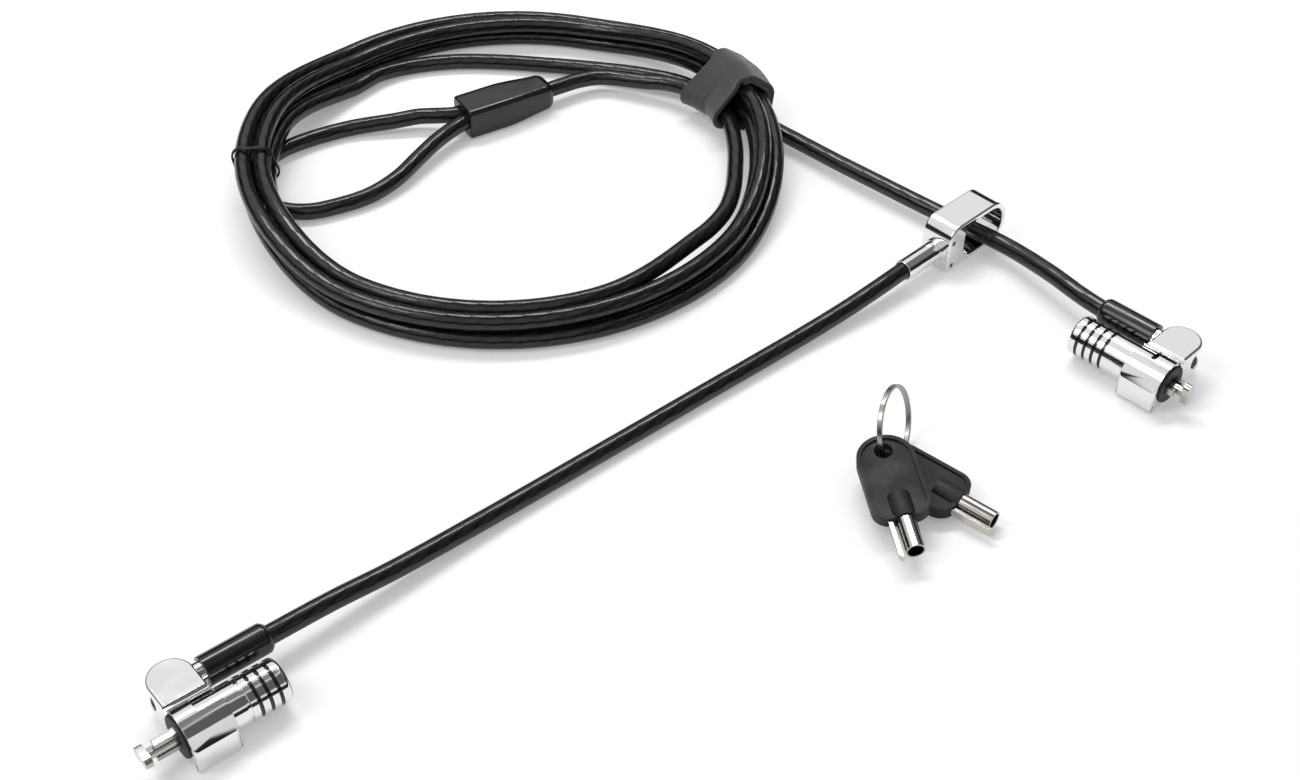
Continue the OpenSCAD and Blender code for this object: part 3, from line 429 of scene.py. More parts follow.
def lay_group():
    """Wire rope under a thin sheath: rounded strands that wind round, as a height."""
    group, gin, gout = new_group(
        "wire_rope_lay",
        [("UV", "NodeSocketVector", None), ("Lay", "NodeSocketFloat", 0.03),
         ("Strands", "NodeSocketFloat", 7.0)],
        [("Height", "NodeSocketFloat"), ("Crest", "NodeSocketFloat")])
    along, around, _ = parts_of(group, gin.outputs["UV"])
    turns = plus(group, math_node(group, "DIVIDE", along, gin.outputs["Lay"]), around)
    phase = times(group, turns, gin.outputs["Strands"])
    crest = math_node(group, "ABSOLUTE", math_node(group, "SINE", times(group, phase, math.pi)))
    uneven = plus(group, noise_node(group, gin.outputs["UV"], 40.0, 3.0), 0.35)
    group.links.new(times(group, crest, uneven), gout.inputs["Height"])
    group.links.new(crest, gout.inputs["Crest"])
    return group


def grain_group():
    """Fine moulded or rolled grain: two noises, as a height and a roughness."""
    group, gin, gout = new_group(
        "fine_grain",
        [("Vector", "NodeSocketVector", None), ("Scale", "NodeSocketFloat", 900.0),
         ("Low", "NodeSocketFloat", 0.3), ("High", "NodeSocketFloat", 0.5)],
        [("Height", "NodeSocketFloat"), ("Roughness", "NodeSocketFloat")])
    fine = noise_node(group, gin.outputs["Vector"], gin.outputs["Scale"], 4.0)
    spread = group.nodes.new("ShaderNodeMapRange")
    spread.inputs["From Min"].default_value = 0.35
    spread.inputs["From Max"].default_value = 0.65
    group.links.new(noise_node(group, gin.outputs["Vector"], 120.0, 3.0), spread.inputs["Value"])
    group.links.new(gin.outputs["Low"], spread.inputs["To Min"])
    group.links.new(gin.outputs["High"], spread.inputs["To Max"])
    group.links.new(fine, gout.inputs["Height"])
    group.links.new(spread.outputs["Result"], gout.inputs["Roughness"])
    return group


def weave_group():
    """Narrow woven tape: crossed ribs of a given pitch, as a height and a shade."""
    group, gin, gout = new_group(
        "tape_weave",
        [("UV", "NodeSocketVector", None), ("Pitch", "NodeSocketFloat", 0.0007)],
        [("Height", "NodeSocketFloat"), ("Shade", "NodeSocketFloat")])
    waves = []
    for axis in parts_of(group, gin.outputs["UV"])[:2]:
        count = math_node(group, "DIVIDE", axis, gin.outputs["Pitch"])
        waves.append(math_node(group, "SINE", times(group, count, 2 * math.pi)))
    cross = times(group, *waves)
    fuzz = noise_node(group, gin.outputs["UV"], 2600.0, 3.0)
    height = plus(group, times(group, cross, 0.35), fuzz)
    shade = plus(group, times(group, cross, 0.12), times(group, fuzz, 0.9), clamp=True)
    group.links.new(height, gout.inputs["Height"])
    group.links.new(shade, gout.inputs["Shade"])
    return group


GROUPS = {}


def group_node(tree, name, **values):
    """Places a shared group in a material with its own values."""
    makers = {"lay": lay_group, "grain": grain_group, "weave": weave_group}
    if name not in GROUPS:
        GROUPS[name] = makers[name]()
    node = tree.nodes.new("ShaderNodeGroup")
    node.node_tree = GROUPS[name]
    for title, value in values.items():
        node.inputs[title].default_value = value
    return node


# ==== materials ====
def new_material(name, colour, roughness, metallic=0.0, **sockets):
    """A material with one Principled shader; returns it, its tree and the shader."""
    material = bpy.data.materials.new(name)
    material.use_nodes = True
    tree = material.node_tree
    shader = next(n for n in tree.nodes if n.type == "BSDF_PRINCIPLED")
    shader.inputs["Base Color"].default_value = (*colour[:3], 1.0)
    shader.inputs["Roughness"].default_value = roughness
    shader.inputs["Metallic"].default_value = metallic
    for title, value in sockets.items():
        shader.inputs[title.replace("_", " ")].default_value = value
    material.diffuse_color = (*colour[:3], 1.0)
    return material, tree, shader


def bump_from(tree, shader, height, depth):
    """Feeds a height of a depth in metres to the shader's normal."""
    bump = tree.nodes.new("ShaderNodeBump")
    bump.inputs["Strength"].default_value = 1.0
    bump.inputs["Distance"].default_value = depth
    tree.links.new(height, bump.inputs["Height"])
    tree.links.new(bump.outputs["Normal"], shader.inputs["Normal"])


def object_vector(tree):
    """Object coordinates."""
    return tree.nodes.new("ShaderNodeTexCoord").outputs["Object"]


def shade_between(tree, factor, low, high):
    """A colour between two, by a mask that changes over the surface."""
    mix = tree.nodes.new("ShaderNodeMix")
    mix.data_type = "RGBA"
    mix.inputs[6].default_value = (*low[:3], 1.0)
    mix.inputs[7].default_value = (*high[:3], 1.0)
    tree.links.new(factor, mix.inputs[0])
    return mix.outputs[2]


def sheath_material(name, size, finish):
    """Glossy vinyl sheath through which the wire rope's lay shows in relief, with painted highlight
    on the strands' crests and painted shade between them.
    """
    material, tree, shader = new_material(
        name, finish.sheath, 0.2, Specular_IOR_Level=0.42)
    uv = tree.nodes.new("ShaderNodeUVMap")
    uv.uv_map = "surface"
    lay = group_node(tree, "lay", Lay=size.lay_len, Strands=size.strand_count)
    tree.links.new(uv.outputs[0], lay.inputs["UV"])
    grain = group_node(tree, "grain", Scale=700.0, Low=0.13, High=0.24)
    tree.links.new(object_vector(tree), grain.inputs["Vector"])
    tree.links.new(grain.outputs["Roughness"], shader.inputs["Roughness"])
    # Painted highlight and shade: the sheath's colour is lighter on the lay's crests and darker
    # between them
    tone = shade_between(tree, lay.outputs["Crest"], [c * 0.55 for c in finish.sheath[:3]],
                         [c * 2.6 for c in finish.sheath[:3]])
    tree.links.new(tone, shader.inputs["Base Color"])
    bump_from(tree, shader, lay.outputs["Height"], size.lay_depth)
    return material


def grained(name, colour, low, high, depth, metallic=0.0, scale=900.0, **sockets):
    """A material whose roughness and fine relief come from the shared grain."""
    material, tree, shader = new_material(name, colour, high, metallic, **sockets)
    grain = group_node(tree, "grain", Scale=scale, Low=low, High=high)
    tree.links.new(object_vector(tree), grain.inputs["Vector"])
    tree.links.new(grain.outputs["Roughness"], shader.inputs["Roughness"])
    bump_from(tree, shader, grain.outputs["Height"], depth)
    return material


def head_axes(tree, place):
    """Sockets for the distance along, across and above a lock head's axis."""
    x, y, z = parts_of(tree, object_vector(tree))
    a = math.radians(place[2])
    out = []
    for fx, fy in ((math.cos(a), math.sin(a)), (-math.sin(a), math.cos(a))):
        run = plus(tree, times(tree, x, fx), times(tree, y, fy))
        out.append(minus(tree, run, (place[0] * fx + place[1] * fy) * MM))
    return out[0], out[1], minus(tree, z, AXIS_Z * MM)


def distance(tree, a, b):
    """Length of the hypotenuse over two sockets."""
    return math_node(tree, "SQRT", plus(tree, times(tree, a, a), times(tree, b, b)))


def metal_with_painted_shade(material, mask, bright, dark):
    """Bright metal where the mask is 0, and painted shade, dark and not metallic, where it is 1."""
    tree = material.node_tree
    shader = next(n for n in tree.nodes if n.type == "BSDF_PRINCIPLED")
    tree.links.new(shade_between(tree, mask, bright, dark), shader.inputs["Base Color"])
    tree.links.new(minus(tree, 1.0, mask), shader.inputs["Metallic"])
    return material


def barrel_material(name, finish, place):
    """Bright plating with painted shade, black and not metallic, in the grip grooves, by distance
    from the barrel's axis.
    """
    material = grained(name, finish.chrome, 0.04, 0.1, 0.000002, 1.0)
    tree = material.node_tree
    along, across, up = head_axes(tree, place)
    # Painted shade: black and not metallic deep in the grip grooves
    deep = math_node(tree, "LESS_THAN", distance(tree, across, up), GROOVE_REACH * MM)
    grip = times(tree, math_node(tree, "GREATER_THAN", along, GRIP_BACK * MM),
                 math_node(tree, "LESS_THAN", along, GRIP_FRONT * MM))
    return metal_with_painted_shade(material, times(tree, deep, grip), finish.chrome, finish.groove_shade)


def knuckle_material(name, place, side, bright, dark, polish, reach):
    """Bright metal, with painted shade, dark and not metallic, within a reach of the pivot pin and
    the height of its slot, where the slot's inside lies in shade.
    """
    material = grained(name, bright, *polish, 0.000002, 1.0)
    tree = material.node_tree
    along, across, up = head_axes(tree, place)
    round_pin = distance(tree, minus(tree, along, KNUCKLE[0] * MM),
                         minus(tree, across, side * KNUCKLE[1] * MM))
    level = math_node(tree, "ABSOLUTE", minus(tree, up, FITTING_Z * MM))
    mask = times(tree, math_node(tree, "LESS_THAN", round_pin, reach * MM),
                 math_node(tree, "LESS_THAN", level, SLOT_HALF * MM))
    return metal_with_painted_shade(material, mask, bright, dark)


def strap_material(finish):
    """Woven hook-and-loop tape, fuzzy and matt."""
    material, tree, shader = new_material("strap_tape", finish.strap, 0.9, Sheen_Weight=0.4,
                                          Sheen_Roughness=0.5)
    uv = tree.nodes.new("ShaderNodeUVMap")
    uv.uv_map = "surface"
    weave = group_node(tree, "weave", Pitch=0.0009)
    tree.links.new(uv.outputs[0], weave.inputs["UV"])
    tone = shade_between(tree, weave.outputs["Shade"], [c * 0.45 for c in finish.strap[:3]],
                         [c * 1.6 for c in finish.strap[:3]])
    tree.links.new(tone, shader.inputs["Base Color"])
    bump_from(tree, shader, weave.outputs["Height"], 0.00012)
    return material


MATERIALS = {}
# Name, colour, least and most roughness, relief of the grain in metres, share of metal
GRAINED = {
    "moulding": ("moulded_black", "moulding", 0.13, 0.24, 0.000002),
    "chrome": ("bright_plating", "chrome", 0.04, 0.1, 0.000002, 1.0),
    "steel": ("satin_steel", "steel", 0.22, 0.4, 0.000004, 1.0),
    "pin": ("dark_pins", "pin", 0.3, 0.5, 0.000004, 0.7),
    "wire": ("brushed_wire", "wire", 0.2, 0.4, 0.000006, 1.0),
    "nickel": ("bright_nickel", "nickel", 0.08, 0.18, 0.000003, 1.0),
    "rubber": ("bumper_rubber", "rubber", 0.5, 0.7, 0.00002),
    "tie": ("tie_plastic", "moulding", 0.35, 0.5, 0.00001)}


def material_for(key):
    """The finish of that name, made when it is first used."""
    if key in MATERIALS:
        return MATERIALS[key]
    size, finish = bpy.context.scene.cable_lock_sizes, bpy.context.scene.cable_lock_finish
    makers = {
        "sheath": partial(sheath_material, "sheath_black", size, finish),
        "bow": partial(grained, "bow_plastic", finish.bow, 0.5, 0.68, 0.00003, scale=1500.0,
                       Specular_IOR_Level=0.35),
        "strap": partial(strap_material, finish)}
    for title, (name, colour, *look) in GRAINED.items():
        makers[title] = partial(grained, name, getattr(finish, colour), *look)
    for head, _, place, side in HEADS:
        makers[f"{head}_barrel"] = partial(barrel_material, f"{head}_barrel_plating", finish,
                                           place)
        # Collar and end fitting get painted shade inside the knuckle's slot; columns: part, metal,
        # colour, polish, reach
        for part, metal, colour, polish, reach in (
                ("collar", "plating", finish.chrome, (0.04, 0.1), SLOT_WALL),
                ("fitting", "steel", finish.steel, (0.22, 0.4), EYE_REACH)):
            makers[f"{head}_{part}"] = partial(
                knuckle_material, f"{head}_{part}_{metal}", place, side, colour, finish.recess_shade,
                polish, reach)
    MATERIALS[key] = makers[key]()
    return MATERIALS[key]


def dress(obj, key):
    """Gives a new piece its material, in its one slot."""
    obj.data.materials.clear()
    obj.data.materials.append(material_for(key))
    return obj


# ==== sizes and colours a user would change ====
def colour_property(name, description, value):
    """A colour of three parts between 0 and 1."""
    return bpy.props.FloatVectorProperty(name=name, description=description, subtype="COLOR",
                                         size=3, min=0.0, max=1.0, default=value)


class CableLockSizes(bpy.types.PropertyGroup):
    """Sizes of the cable, its winding and the strap."""
    cable_d: bpy.props.FloatProperty(
        name="Cable diameter", description="Outside diameter of the sheath", default=5.5 * MM,
        unit="LENGTH")
    strand_gap: bpy.props.FloatProperty(
        name="Strand gap", description="Least free gap between strands", default=0.5 * MM,
        unit="LENGTH")
    coil_r: bpy.props.FloatProperty(
        name="Coil radius", description="Inner centreline radius of the coil",
        default=78.5 * MM, unit="LENGTH")
    coil_turns: bpy.props.FloatProperty(
        name="Coil turns", description="Turns wound as a coil", default=3.5)
    lay_len: bpy.props.FloatProperty(
        name="Lay length", description="Length over which the wire rope winds once",
        default=46 * MM, unit="LENGTH")
    lay_depth: bpy.props.FloatProperty(
        name="Lay relief", description="Relief of the wire rope in the sheath",
        default=0.035 * MM, unit="LENGTH")
    strand_count: bpy.props.FloatProperty(
        name="Strands", description="Strands of the wire rope", default=6.0)
    strap_w: bpy.props.FloatProperty(
        name="Strap width", description="Width of the hook-and-loop strap", default=20 * MM,
        unit="LENGTH")
    strap_t: bpy.props.FloatProperty(
        name="Strap thickness", description="Thickness of the strap", default=1.3 * MM,
        unit="LENGTH")
    strap_tail: bpy.props.FloatProperty(
        name="Strap overlap", description="Length of the strap's free tail over itself",
        default=27 * MM, unit="LENGTH")
    tie_wire: bpy.props.FloatProperty(
        name="Tie wire", description="Diameter of the coated tie wire", default=0.7 * MM,
        unit="LENGTH")


class CableLockFinish(bpy.types.PropertyGroup):
    """Colours of the finishes."""
    sheath: colour_property("Sheath", "Vinyl sheath of the cables", (0.0045, 0.0045, 0.005))
    moulding: colour_property("Moulding", "Sleeves and ferrule cover", (0.006, 0.006, 0.0065))
    strap: colour_property("Strap", "Hook-and-loop tape", (0.035, 0.035, 0.04))
    chrome: colour_property("Plating", "Bright plated castings", (0.78, 0.78, 0.79))
    # Painted shade in the grip grooves of the barrels
    groove_shade: colour_property("Grooves", "Paint in the grip grooves", (0.01, 0.01, 0.01))
    # Painted shade inside the knuckle's slot, on the collar and on the end fitting in it
    recess_shade: colour_property("Recess", "Bare inside of the knuckle", (0.03, 0.022, 0.018))
    steel: colour_property("Steel", "Satin steel", (0.5, 0.5, 0.49))
    pin: colour_property("Pins", "Dark drive pins of the slider", (0.05, 0.045, 0.04))
    wire: colour_property("Key ring", "Brushed wire of the key ring", (0.34, 0.33, 0.31))
    nickel: colour_property("Nickel", "T-bars, cores and key tubes", (0.52, 0.5, 0.46))
    rubber: colour_property("Rubber", "Nose bumpers", (0.012, 0.012, 0.012))
    bow: colour_property("Bow", "Plastic bows of the keys", (0.015, 0.0155, 0.0175))


class CableLockStudio(bpy.types.PropertyGroup):
    """Light and floor."""
    sky: bpy.props.FloatProperty(name="Sky", description="Even light from all round", default=0.55)
    key_power: bpy.props.FloatProperty(name="Key light", description="Power of the large lamp",
                                       default=9.0, unit="POWER")
    floor: colour_property("Floor", "Colour of the table", (0.8, 0.8, 0.805))
    floor_glow: bpy.props.FloatProperty(
        name="Floor glow", description="Brightness added where the floor is the background",
        default=0.24)


# ==== operators ====
class StudioOperator(bpy.types.Operator):
    """Makes the camera, the floor, the lamps and the sky"""
    bl_idname = "cable_lock.studio"
    bl_label = "Studio"

    def execute(self, context):
        studio = context.scene.cable_lock_studio
        scene = context.scene
        scene.view_settings.view_transform = "Standard"
        lens = bpy.data.cameras.new("view_camera")
        lens.sensor_width = SENSOR
        lens.lens = FOCAL_PX / FRAME_PX * SENSOR
        lens.clip_start = 0.01
        camera = bpy.data.objects.new("view_camera", lens)
        camera.location = CAMERA_PLACE
        camera.rotation_euler = (math.radians(90.0 - CAMERA_TILT), 0.0, 0.0)
        scene.collection.objects.link(camera)
        scene.camera = camera
        self.floor(studio)
        self.lamp("key_lamp", (-0.15, 0.7, 1.2), (-0.02, 0.05, 0), (1.0, 0.2), studio.key_power)
        self.lamp("fill_lamp", (-0.7, -0.2, 0.9), (0.02, 0.03, 0), (0.3, 0.5),
                  studio.key_power * 0.25)
        self.sky(scene, studio)
        return {"FINISHED"}

    def floor(self, studio):
        """A plain sheet of table, whose own colour is raised where it is seen as the background."""
        half, low = 3.0, -0.0001
        corners = np.array([[-half, -half, low], [half, -half, low], [half, half, low],
                            [-half, half, low]])
        table = mesh_object("floor", corners, [[0, 1, 2, 3]], smooth=False)
        material, tree, shader = new_material("table_white", studio.floor, 0.9,
                                              Specular_IOR_Level=0.1)
        path = tree.nodes.new("ShaderNodeLightPath")
        seen = math_node(tree, "MAXIMUM", path.outputs["Is Camera Ray"],
                         math_node(tree, "MAXIMUM", path.outputs["Is Glossy Ray"],
                                   path.outputs["Is Transmission Ray"]))
        glow = tree.nodes.new("ShaderNodeEmission")
        tree.links.new(times(tree, seen, studio.floor_glow), glow.inputs["Strength"])
        both = tree.nodes.new("ShaderNodeAddShader")
        tree.links.new(shader.outputs[0], both.inputs[0])
        tree.links.new(glow.outputs[0], both.inputs[1])
        out = next(n for n in tree.nodes if n.type == "OUTPUT_MATERIAL")
        tree.links.new(both.outputs[0], out.inputs["Surface"])
        table.data.materials.append(material)

    def lamp(self, name, place, aim, size, power):
        """A long soft lamp turned to a point."""
        light = bpy.data.lights.new(name, "AREA")
        light.shape = "RECTANGLE"
        light.size, light.size_y = size
        light.energy = power
        lamp = bpy.data.objects.new(name, light)
        lamp.location = place
        lamp.rotation_euler = (Vector(aim) - Vector(place)).to_track_quat("-Z", "Y").to_euler()
        bpy.context.scene.collection.objects.link(lamp)

    def sky(self, scene, studio):
        """White where it is seen, even for matt surfaces, with dark walls between light panels
        in mirror-bright ones."""
        world = bpy.data.worlds.new("studio_sky")
        world.use_nodes = True
        scene.world = world
        tree = world.node_tree
        back = next(n for n in tree.nodes if n.type == "BACKGROUND")
        out = next(n for n in tree.nodes if n.type == "OUTPUT_WORLD")
        back.inputs["Color"].default_value = (1, 1, 1, 1)
        path = tree.nodes.new("ShaderNodeLightPath")
        glossy = path.outputs["Is Glossy Ray"]
        x, y, z = parts_of(tree, tree.nodes.new("ShaderNodeTexCoord").outputs["Generated"])
        behind = self.step(tree, y, -0.05, 0.05)
        start = minus(tree, z, times(tree, behind, 0.06))
        panel = minus(tree, self.step(tree, start, 0.36, 0.42),
                      times(tree, self.step(tree, z, 0.94, 0.96), 0.75))
        right = times(tree, self.step(tree, x, 0.34, 0.4), -0.75)
        bright = plus(tree, times(tree, behind, 0.08), plus(tree, right, 0.85))
        low = times(tree, self.step(tree, x, 0.6, 0.66),
                    minus(tree, self.step(tree, z, 0.27, 0.3), self.step(tree, z, 0.42, 0.46)))
        front = times(tree, low, self.step(tree, y, -0.3, -0.4))
        mirror = plus(tree, times(tree, front, 0.8),
                      plus(tree, times(tree, panel, bright), 0.02))
        level = plus(tree, times(tree, glossy, mirror),
                     times(tree, minus(tree, 1.0, glossy), studio.sky))
        shown = math_node(tree, "MAXIMUM", path.outputs["Is Camera Ray"],
                          path.outputs["Is Transmission Ray"])
        tree.links.new(math_node(tree, "MAXIMUM", level, shown), back.inputs["Strength"])
        tree.links.new(back.outputs[0], out.inputs["Surface"])

    def step(self, tree, value, low, high):
        """0 below low, 1 above high."""
        node = tree.nodes.new("ShaderNodeMapRange")
        node.inputs["From Min"].default_value = low
        node.inputs["From Max"].default_value = high
        tree.links.new(value, node.inputs["Value"])
        return node.outputs["Result"]


class CablesOperator(bpy.types.Operator):
    """Builds the main cable, its end loop and the branch cable"""
    bl_idname = "cable_lock.cables"
    bl_label = "Cables"

    def execute(self, context):
        size = context.scene.cable_lock_sizes
        radius = size.cable_d / 2 / MM
        for name, line, body, nodes, lay in (
                ("main_cable", main_line(size), "cable_set",
                 ("main_lead", "cable_coil", "ferrule_lead"), "coiled"),
                ("end_loop_cable", loop_line(), "cable_set", ("end_loop",), "loose"),
                ("branch_cable_run", branch_line(), "slider", ("branch_cable",), "loose")):
            piece = dress(tube(name, line, radius, CABLE_SIDES), "sheath")
            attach(piece, body)
            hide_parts(*nodes)
        return {"FINISHED"}


class StrapOperator(bpy.types.Operator):
    """Builds the hook-and-loop strap and the wire tie"""
    bl_idname = "cable_lock.strap"
    bl_label = "Strap and tie"

    def execute(self, context):
        size = context.scene.cable_lock_sizes
        lines = [main_line(size), loop_line()]
        self.strap(size, lines)
        self.tie(size, lines)
        return {"FINISHED"}

    def strap(self, size, lines):
        """A tape wound clockwise once round the strands and on over itself: the taut line at each
        station across its width, lifted by one thickness where it lies on its own start."""
        width, thick, tail = size.strap_w / MM, size.strap_t / MM, size.strap_tail / MM
        across = np.linspace(-width / 2, width / 2, 25)
        reach = size.cable_d / MM / 2 + STRAP_AIR + thick / 2
        rows, lengths = [], []
        for y in across:
            seen = strands_in(STRAP_PLACE, lines, y - 4.5, y + 4.5)
            ring, length = wrap_line(seen, reach, STRAP_STEPS)
            rows.append(ring)
            lengths.append(length)
        ring = np.stack(rows)
        length = float(np.mean(lengths))
        share = np.linspace(0.0, 1.0 + tail / length, 300)
        at = (share % 1.0) * STRAP_STEPS
        low = np.floor(at).astype(int)
        part = (at - low)[None, :, None]
        line = ring[:, low] * (1 - part) + ring[:, np.minimum(low + 1, STRAP_STEPS)] * part
        ahead = np.gradient(line, axis=1)
        ahead /= np.linalg.norm(ahead, axis=2)[..., None]
        out = np.stack([-ahead[..., 1], ahead[..., 0]], -1)
        lift = (thick + LAYER_AIR) * eased((share - 0.93) / 0.07)
        flare = 2.2 * eased((share - share[-1] + 0.07) / 0.07)
        bow = 0.25 * np.cos(across / width * 2 * math.pi)[:, None]
        line = line + out * (lift[None] + flare[None] + bow)[..., None]
        line[..., 1] = np.maximum(line[..., 1], thick / 2)
        tip = np.clip((share - share[-1] + 0.05) / 0.05, 0, 1)
        squeeze = 1.0 - 0.16 * tip ** 2
        y = across[:, None] * squeeze[None, :]
        world = np.stack(placed(STRAP_PLACE, line[..., 0], y, line[..., 1]), -1)
        quad, i, k = grid_faces(len(across), len(share), False)
        u = share * length * MM
        v = across * MM
        uv = np.stack([np.stack([u[k], u[k + 1], u[k + 1], u[k]], 1),
                       np.stack([v[i], v[i], v[i + 1], v[i + 1]], 1)], -1).reshape(-1, 2)
        piece = dress(mesh_object("strap_tape", world.reshape(-1, 3) * MM, quad.tolist(), uv),
                      "strap")
        wall = piece.modifiers.new("tape_thickness", "SOLIDIFY")
        wall.thickness = size.strap_t
        wall.offset = 0.0
        rim = piece.modifiers.new("tape_edge", "BEVEL")
        rim.width = 0.3 * MM
        rim.segments = 2
        rim.limit_method = "ANGLE"
        rim.angle_limit = math.radians(50)
        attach(piece, "cable_set")
        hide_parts("hook_loop_strap")

    def tie(self, size, lines):
        """Two turns of coated wire side by side round the strands and the end loop."""
        wire = size.tie_wire / MM / 2
        seen = strands_in(TIE_PLACE, lines, -1.5, 1.5)
        ring = wrap_line(seen, size.cable_d / MM / 2 + TIE_AIR + wire, TIE_STEPS)[0][:-1]
        turn = np.arange(len(ring)) / len(ring)
        line = np.vstack([ring, ring, ring[:1]])
        y = np.concatenate([turn, turn + 1, [2.0]]) * 2 * wire - 2 * wire
        a = math.radians(TIE_PLACE[2])
        world = np.stack(placed(TIE_PLACE, line[:, 0], y, np.maximum(line[:, 1], wire)), 1)
        along = np.gradient(world, axis=0)
        along /= np.linalg.norm(along, axis=1)[:, None]
        beside = np.array([-math.sin(a), math.cos(a), 0.0])
        beside = beside - (along @ beside)[:, None] * along
        beside /= np.linalg.norm(beside, axis=1)[:, None]
        rings = rings_round(world, beside, np.cross(along, beside), wire, TIE_SIDES)
        piece = dress(mesh_object("wire_tie_turns", rings * MM,
                                  shell_faces(len(world), TIE_SIDES, turned=False)), "tie")
        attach(piece, "cable_set")
        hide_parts("wire_tie")


class CoverOperator(bpy.types.Operator):
    """Builds the rounded ferrule cover and finishes the ferrule in it"""
    bl_idname = "cable_lock.cover"
    bl_label = "Ferrule cover"

    def execute(self, context):
        self.cover()
        finished_copy("loop_ferrule", material_for("steel"), "cable_set", 0.15)
        return {"FINISHED"}

    def drawn_in(self, gap, radius):
        """How far a quarter circle draws the side in, at a gap from the end face."""
        return radius - np.sqrt(np.clip(radius ** 2 - np.clip(radius - gap, 0, radius) ** 2,
                                        0, None))

    def cover(self):
        """Rings of |y/w|^n + |z/h|^n = 1 along the cover: w and h fall from the full size to the
        tip's on an eased curve and round in at both ends, and n falls towards the tip, so that a
        boxy end runs into a rounded one; the end faces close on the middle."""
        around, steps = 96, 90
        x = (1 - np.cos(np.linspace(0, math.pi, steps))) / 2 * COVER_LEN
        slim = 0.6 * eased((x - 0.4 * COVER_LEN) / (0.6 * COVER_LEN))
        ends = []
        for full, tip in ((COVER_W, COVER_TIP_W), (COVER_H, COVER_TIP_H)):
            half = (full + (tip - full) * slim) / 2
            ends.append(half - self.drawn_in(x, COVER_FRONT_R)
                        - self.drawn_in(COVER_LEN - x, COVER_BACK_R))
        power = 2.0 / (6.5 - 3.3 * slim)
        a = np.linspace(0, 2 * math.pi, around, endpoint=False)
        c, s = np.cos(a)[None], np.sin(a)[None]
        y = ends[0][:, None] * np.sign(c) * np.abs(c) ** power[:, None]
        z = ends[1][:, None] * np.sign(s) * np.abs(s) ** power[:, None]
        inner = np.array([0.6, 0.2])
        first = [(np.full(around, x[0]), y[0] * k, z[0] * k) for k in inner[::-1]]
        last = [(np.full(around, x[-1]), y[-1] * k, z[-1] * k) for k in inner]
        rows = first + [(np.full(around, x[n]), y[n], z[n]) for n in range(steps)] + last
        px, py, pz = (np.stack([row[k] for row in rows]) for k in range(3))
        world = np.stack(placed(COVER_PLACE, px, py, COVER_Z + pz), -1).reshape(-1, 3)
        piece = dress(mesh_object("cover_moulding", world * MM, shell_faces(len(rows), around)),
                      "moulding")
        piece.data.set_sharp_from_angle(angle=math.radians(50))
        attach(piece, "cable_set")
        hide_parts("ferrule_cover")


class SliderOperator(bpy.types.Operator):
    """Finishes the slider ring, its crimp tube and its pins"""
    bl_idname = "cable_lock.slider"
    bl_label = "Slider"

    def outlines(self, point):
        """The outlines of the ring's two side faces, without the pin holes in them."""
        along, across = within(SLIDER_PLACE, point)
        hole = np.hypot(across - PIN_Y, np.abs(point[:, 2] - CRIMP_Z) - PIN_RISE) < PIN_CLEAR
        return (np.abs(np.abs(along) - RING_LEN / 2) < NEAR) & ~hole

    def execute(self, context):
        finished_copy("slider_ring", material_for("chrome"), "slider", 0.75, 4, clamp=False,
                      wide=self.outlines)
        finished_copy("slider_crimp_tube", material_for("chrome"), "slider", 0.25, 3)
        finished_copy("slider_pins", material_for("pin"), "slider", 0.1)
        return {"FINISHED"}


# Piece: the body that it rides, its finish and the width of its rounds
HEAD_FINISH = {
    "collar": ("head", "collar", 0.8), "pivot_pin": ("head", "steel", 0.1),
    "guide_sleeve": ("guide", "steel", 0.0), "nose_bumper": ("guide", "rubber", 0.2),
    "retaining_ring": ("guide", "steel", 0.0), "return_spring": ("guide", "steel", 0.0),
    "barrel": ("push", "barrel", 0.2), "lock_pins": ("push", "steel", 0.1),
    "lock_core": ("core", "nickel", 0.1), "tumblers": ("core", "steel", 0.0),
    "t_bar": ("core", "nickel", 0.25)}
FIXED_FINISH = {"end_fitting": ("fitting", 0.2), "crimp_collar": ("chrome", 0.3),
                "sleeve": ("moulding", 0.3)}


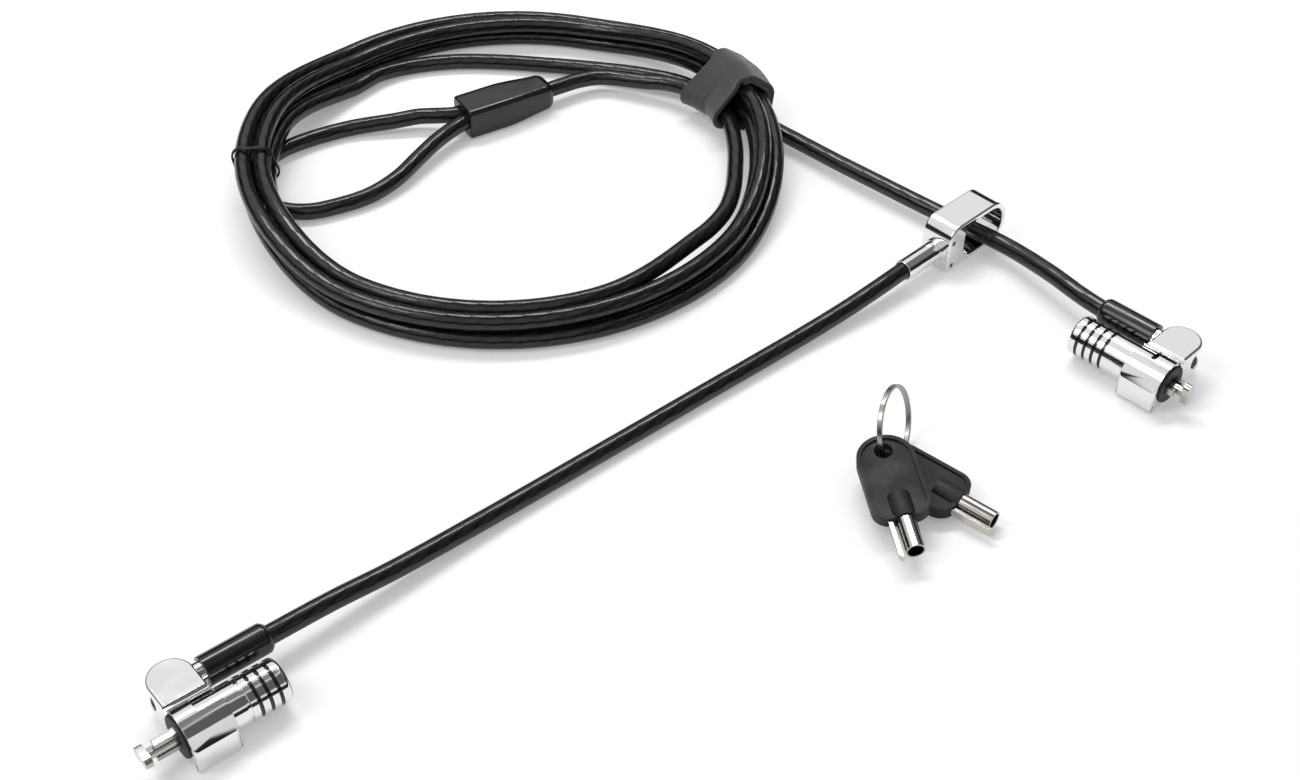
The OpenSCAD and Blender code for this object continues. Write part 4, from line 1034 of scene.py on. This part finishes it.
class HeadsOperator(bpy.types.Operator):
    """Finishes both lock heads and the fittings on their cables"""
    bl_idname = "cable_lock.heads"
    bl_label = "Lock heads"

    def outer_edges(self, point, place, side):
        """The rim round the top of the knuckle, without its edge along the barrel, and the edges
        under the block."""
        across = side * within(place, point)[1]
        top = (np.abs(point[:, 2] - KNUCKLE_TOP) < NEAR) & (across > RIM_FROM)
        return top | (point[:, 2] < NEAR)

    def finish(self, head, finish):
        """The material; those that follow the head's own axes are made for each head."""
        own = finish in ("barrel", "collar", "fitting")
        return material_for(f"{head}_{finish}" if own else finish)

    def execute(self, context):
        for head, carrier, place, side in HEADS:
            rim = partial(self.outer_edges, place=place, side=side)
            for piece, (body, finish, width) in HEAD_FINISH.items():
                collar = piece == "collar"
                finished_copy(f"{head}_{piece}", self.finish(head, finish), f"{head}_{body}",
                              width, 3, clamp=not collar, wide=rim if collar else None)
            for piece, (finish, width) in FIXED_FINISH.items():
                finished_copy(f"{head}_{piece}", self.finish(head, finish), carrier, width, 3)
        return {"FINISHED"}


class KeysOperator(bpy.types.Operator):
    """Finishes the key ring and both keys"""
    bl_idname = "cable_lock.keys"
    bl_label = "Keys"

    def execute(self, context):
        finished_copy("key_ring", material_for("wire"), "key_ring", 0.2, 3)
        for key in ("key_a", "key_b"):
            finished_copy(key + "_bow", material_for("bow"), key, 0.3, 3)
            finished_copy(key + "_blade", material_for("nickel"), key, 0.12, 2)
        return {"FINISHED"}


OPERATORS = (StudioOperator, CablesOperator, StrapOperator, CoverOperator, SliderOperator,
             HeadsOperator, KeysOperator)


class CableLockPanel(bpy.types.Panel):
    """Lists the steps and the values they use"""
    bl_idname = "VIEW3D_PT_cable_lock"
    bl_label = "Cable lock"
    bl_space_type = "VIEW_3D"
    bl_region_type = "UI"
    bl_category = "Cable lock"

    def draw(self, context):
        for step in OPERATORS:
            self.layout.operator(step.bl_idname)
        for group in (context.scene.cable_lock_sizes, context.scene.cable_lock_finish,
                      context.scene.cable_lock_studio):
            for name in group.__annotations__:
                self.layout.prop(group, name)


CLASSES = (CableLockSizes, CableLockFinish, CableLockStudio, *OPERATORS, CableLockPanel)


def register():
    for cls in CLASSES:
        bpy.utils.register_class(cls)
    bpy.types.Scene.cable_lock_sizes = bpy.props.PointerProperty(type=CableLockSizes)
    bpy.types.Scene.cable_lock_finish = bpy.props.PointerProperty(type=CableLockFinish)
    bpy.types.Scene.cable_lock_studio = bpy.props.PointerProperty(type=CableLockStudio)


def unregister():
    del bpy.types.Scene.cable_lock_studio
    del bpy.types.Scene.cable_lock_finish
    del bpy.types.Scene.cable_lock_sizes
    for cls in reversed(CLASSES):
        bpy.utils.unregister_class(cls)


def main():
    register()
    bpy.ops.cable_lock.studio()
    bpy.ops.cable_lock.cables()
    bpy.ops.cable_lock.strap()
    bpy.ops.cable_lock.cover()
    bpy.ops.cable_lock.slider()
    bpy.ops.cable_lock.heads()
    bpy.ops.cable_lock.keys()


if __name__ == "__main__":
    main()
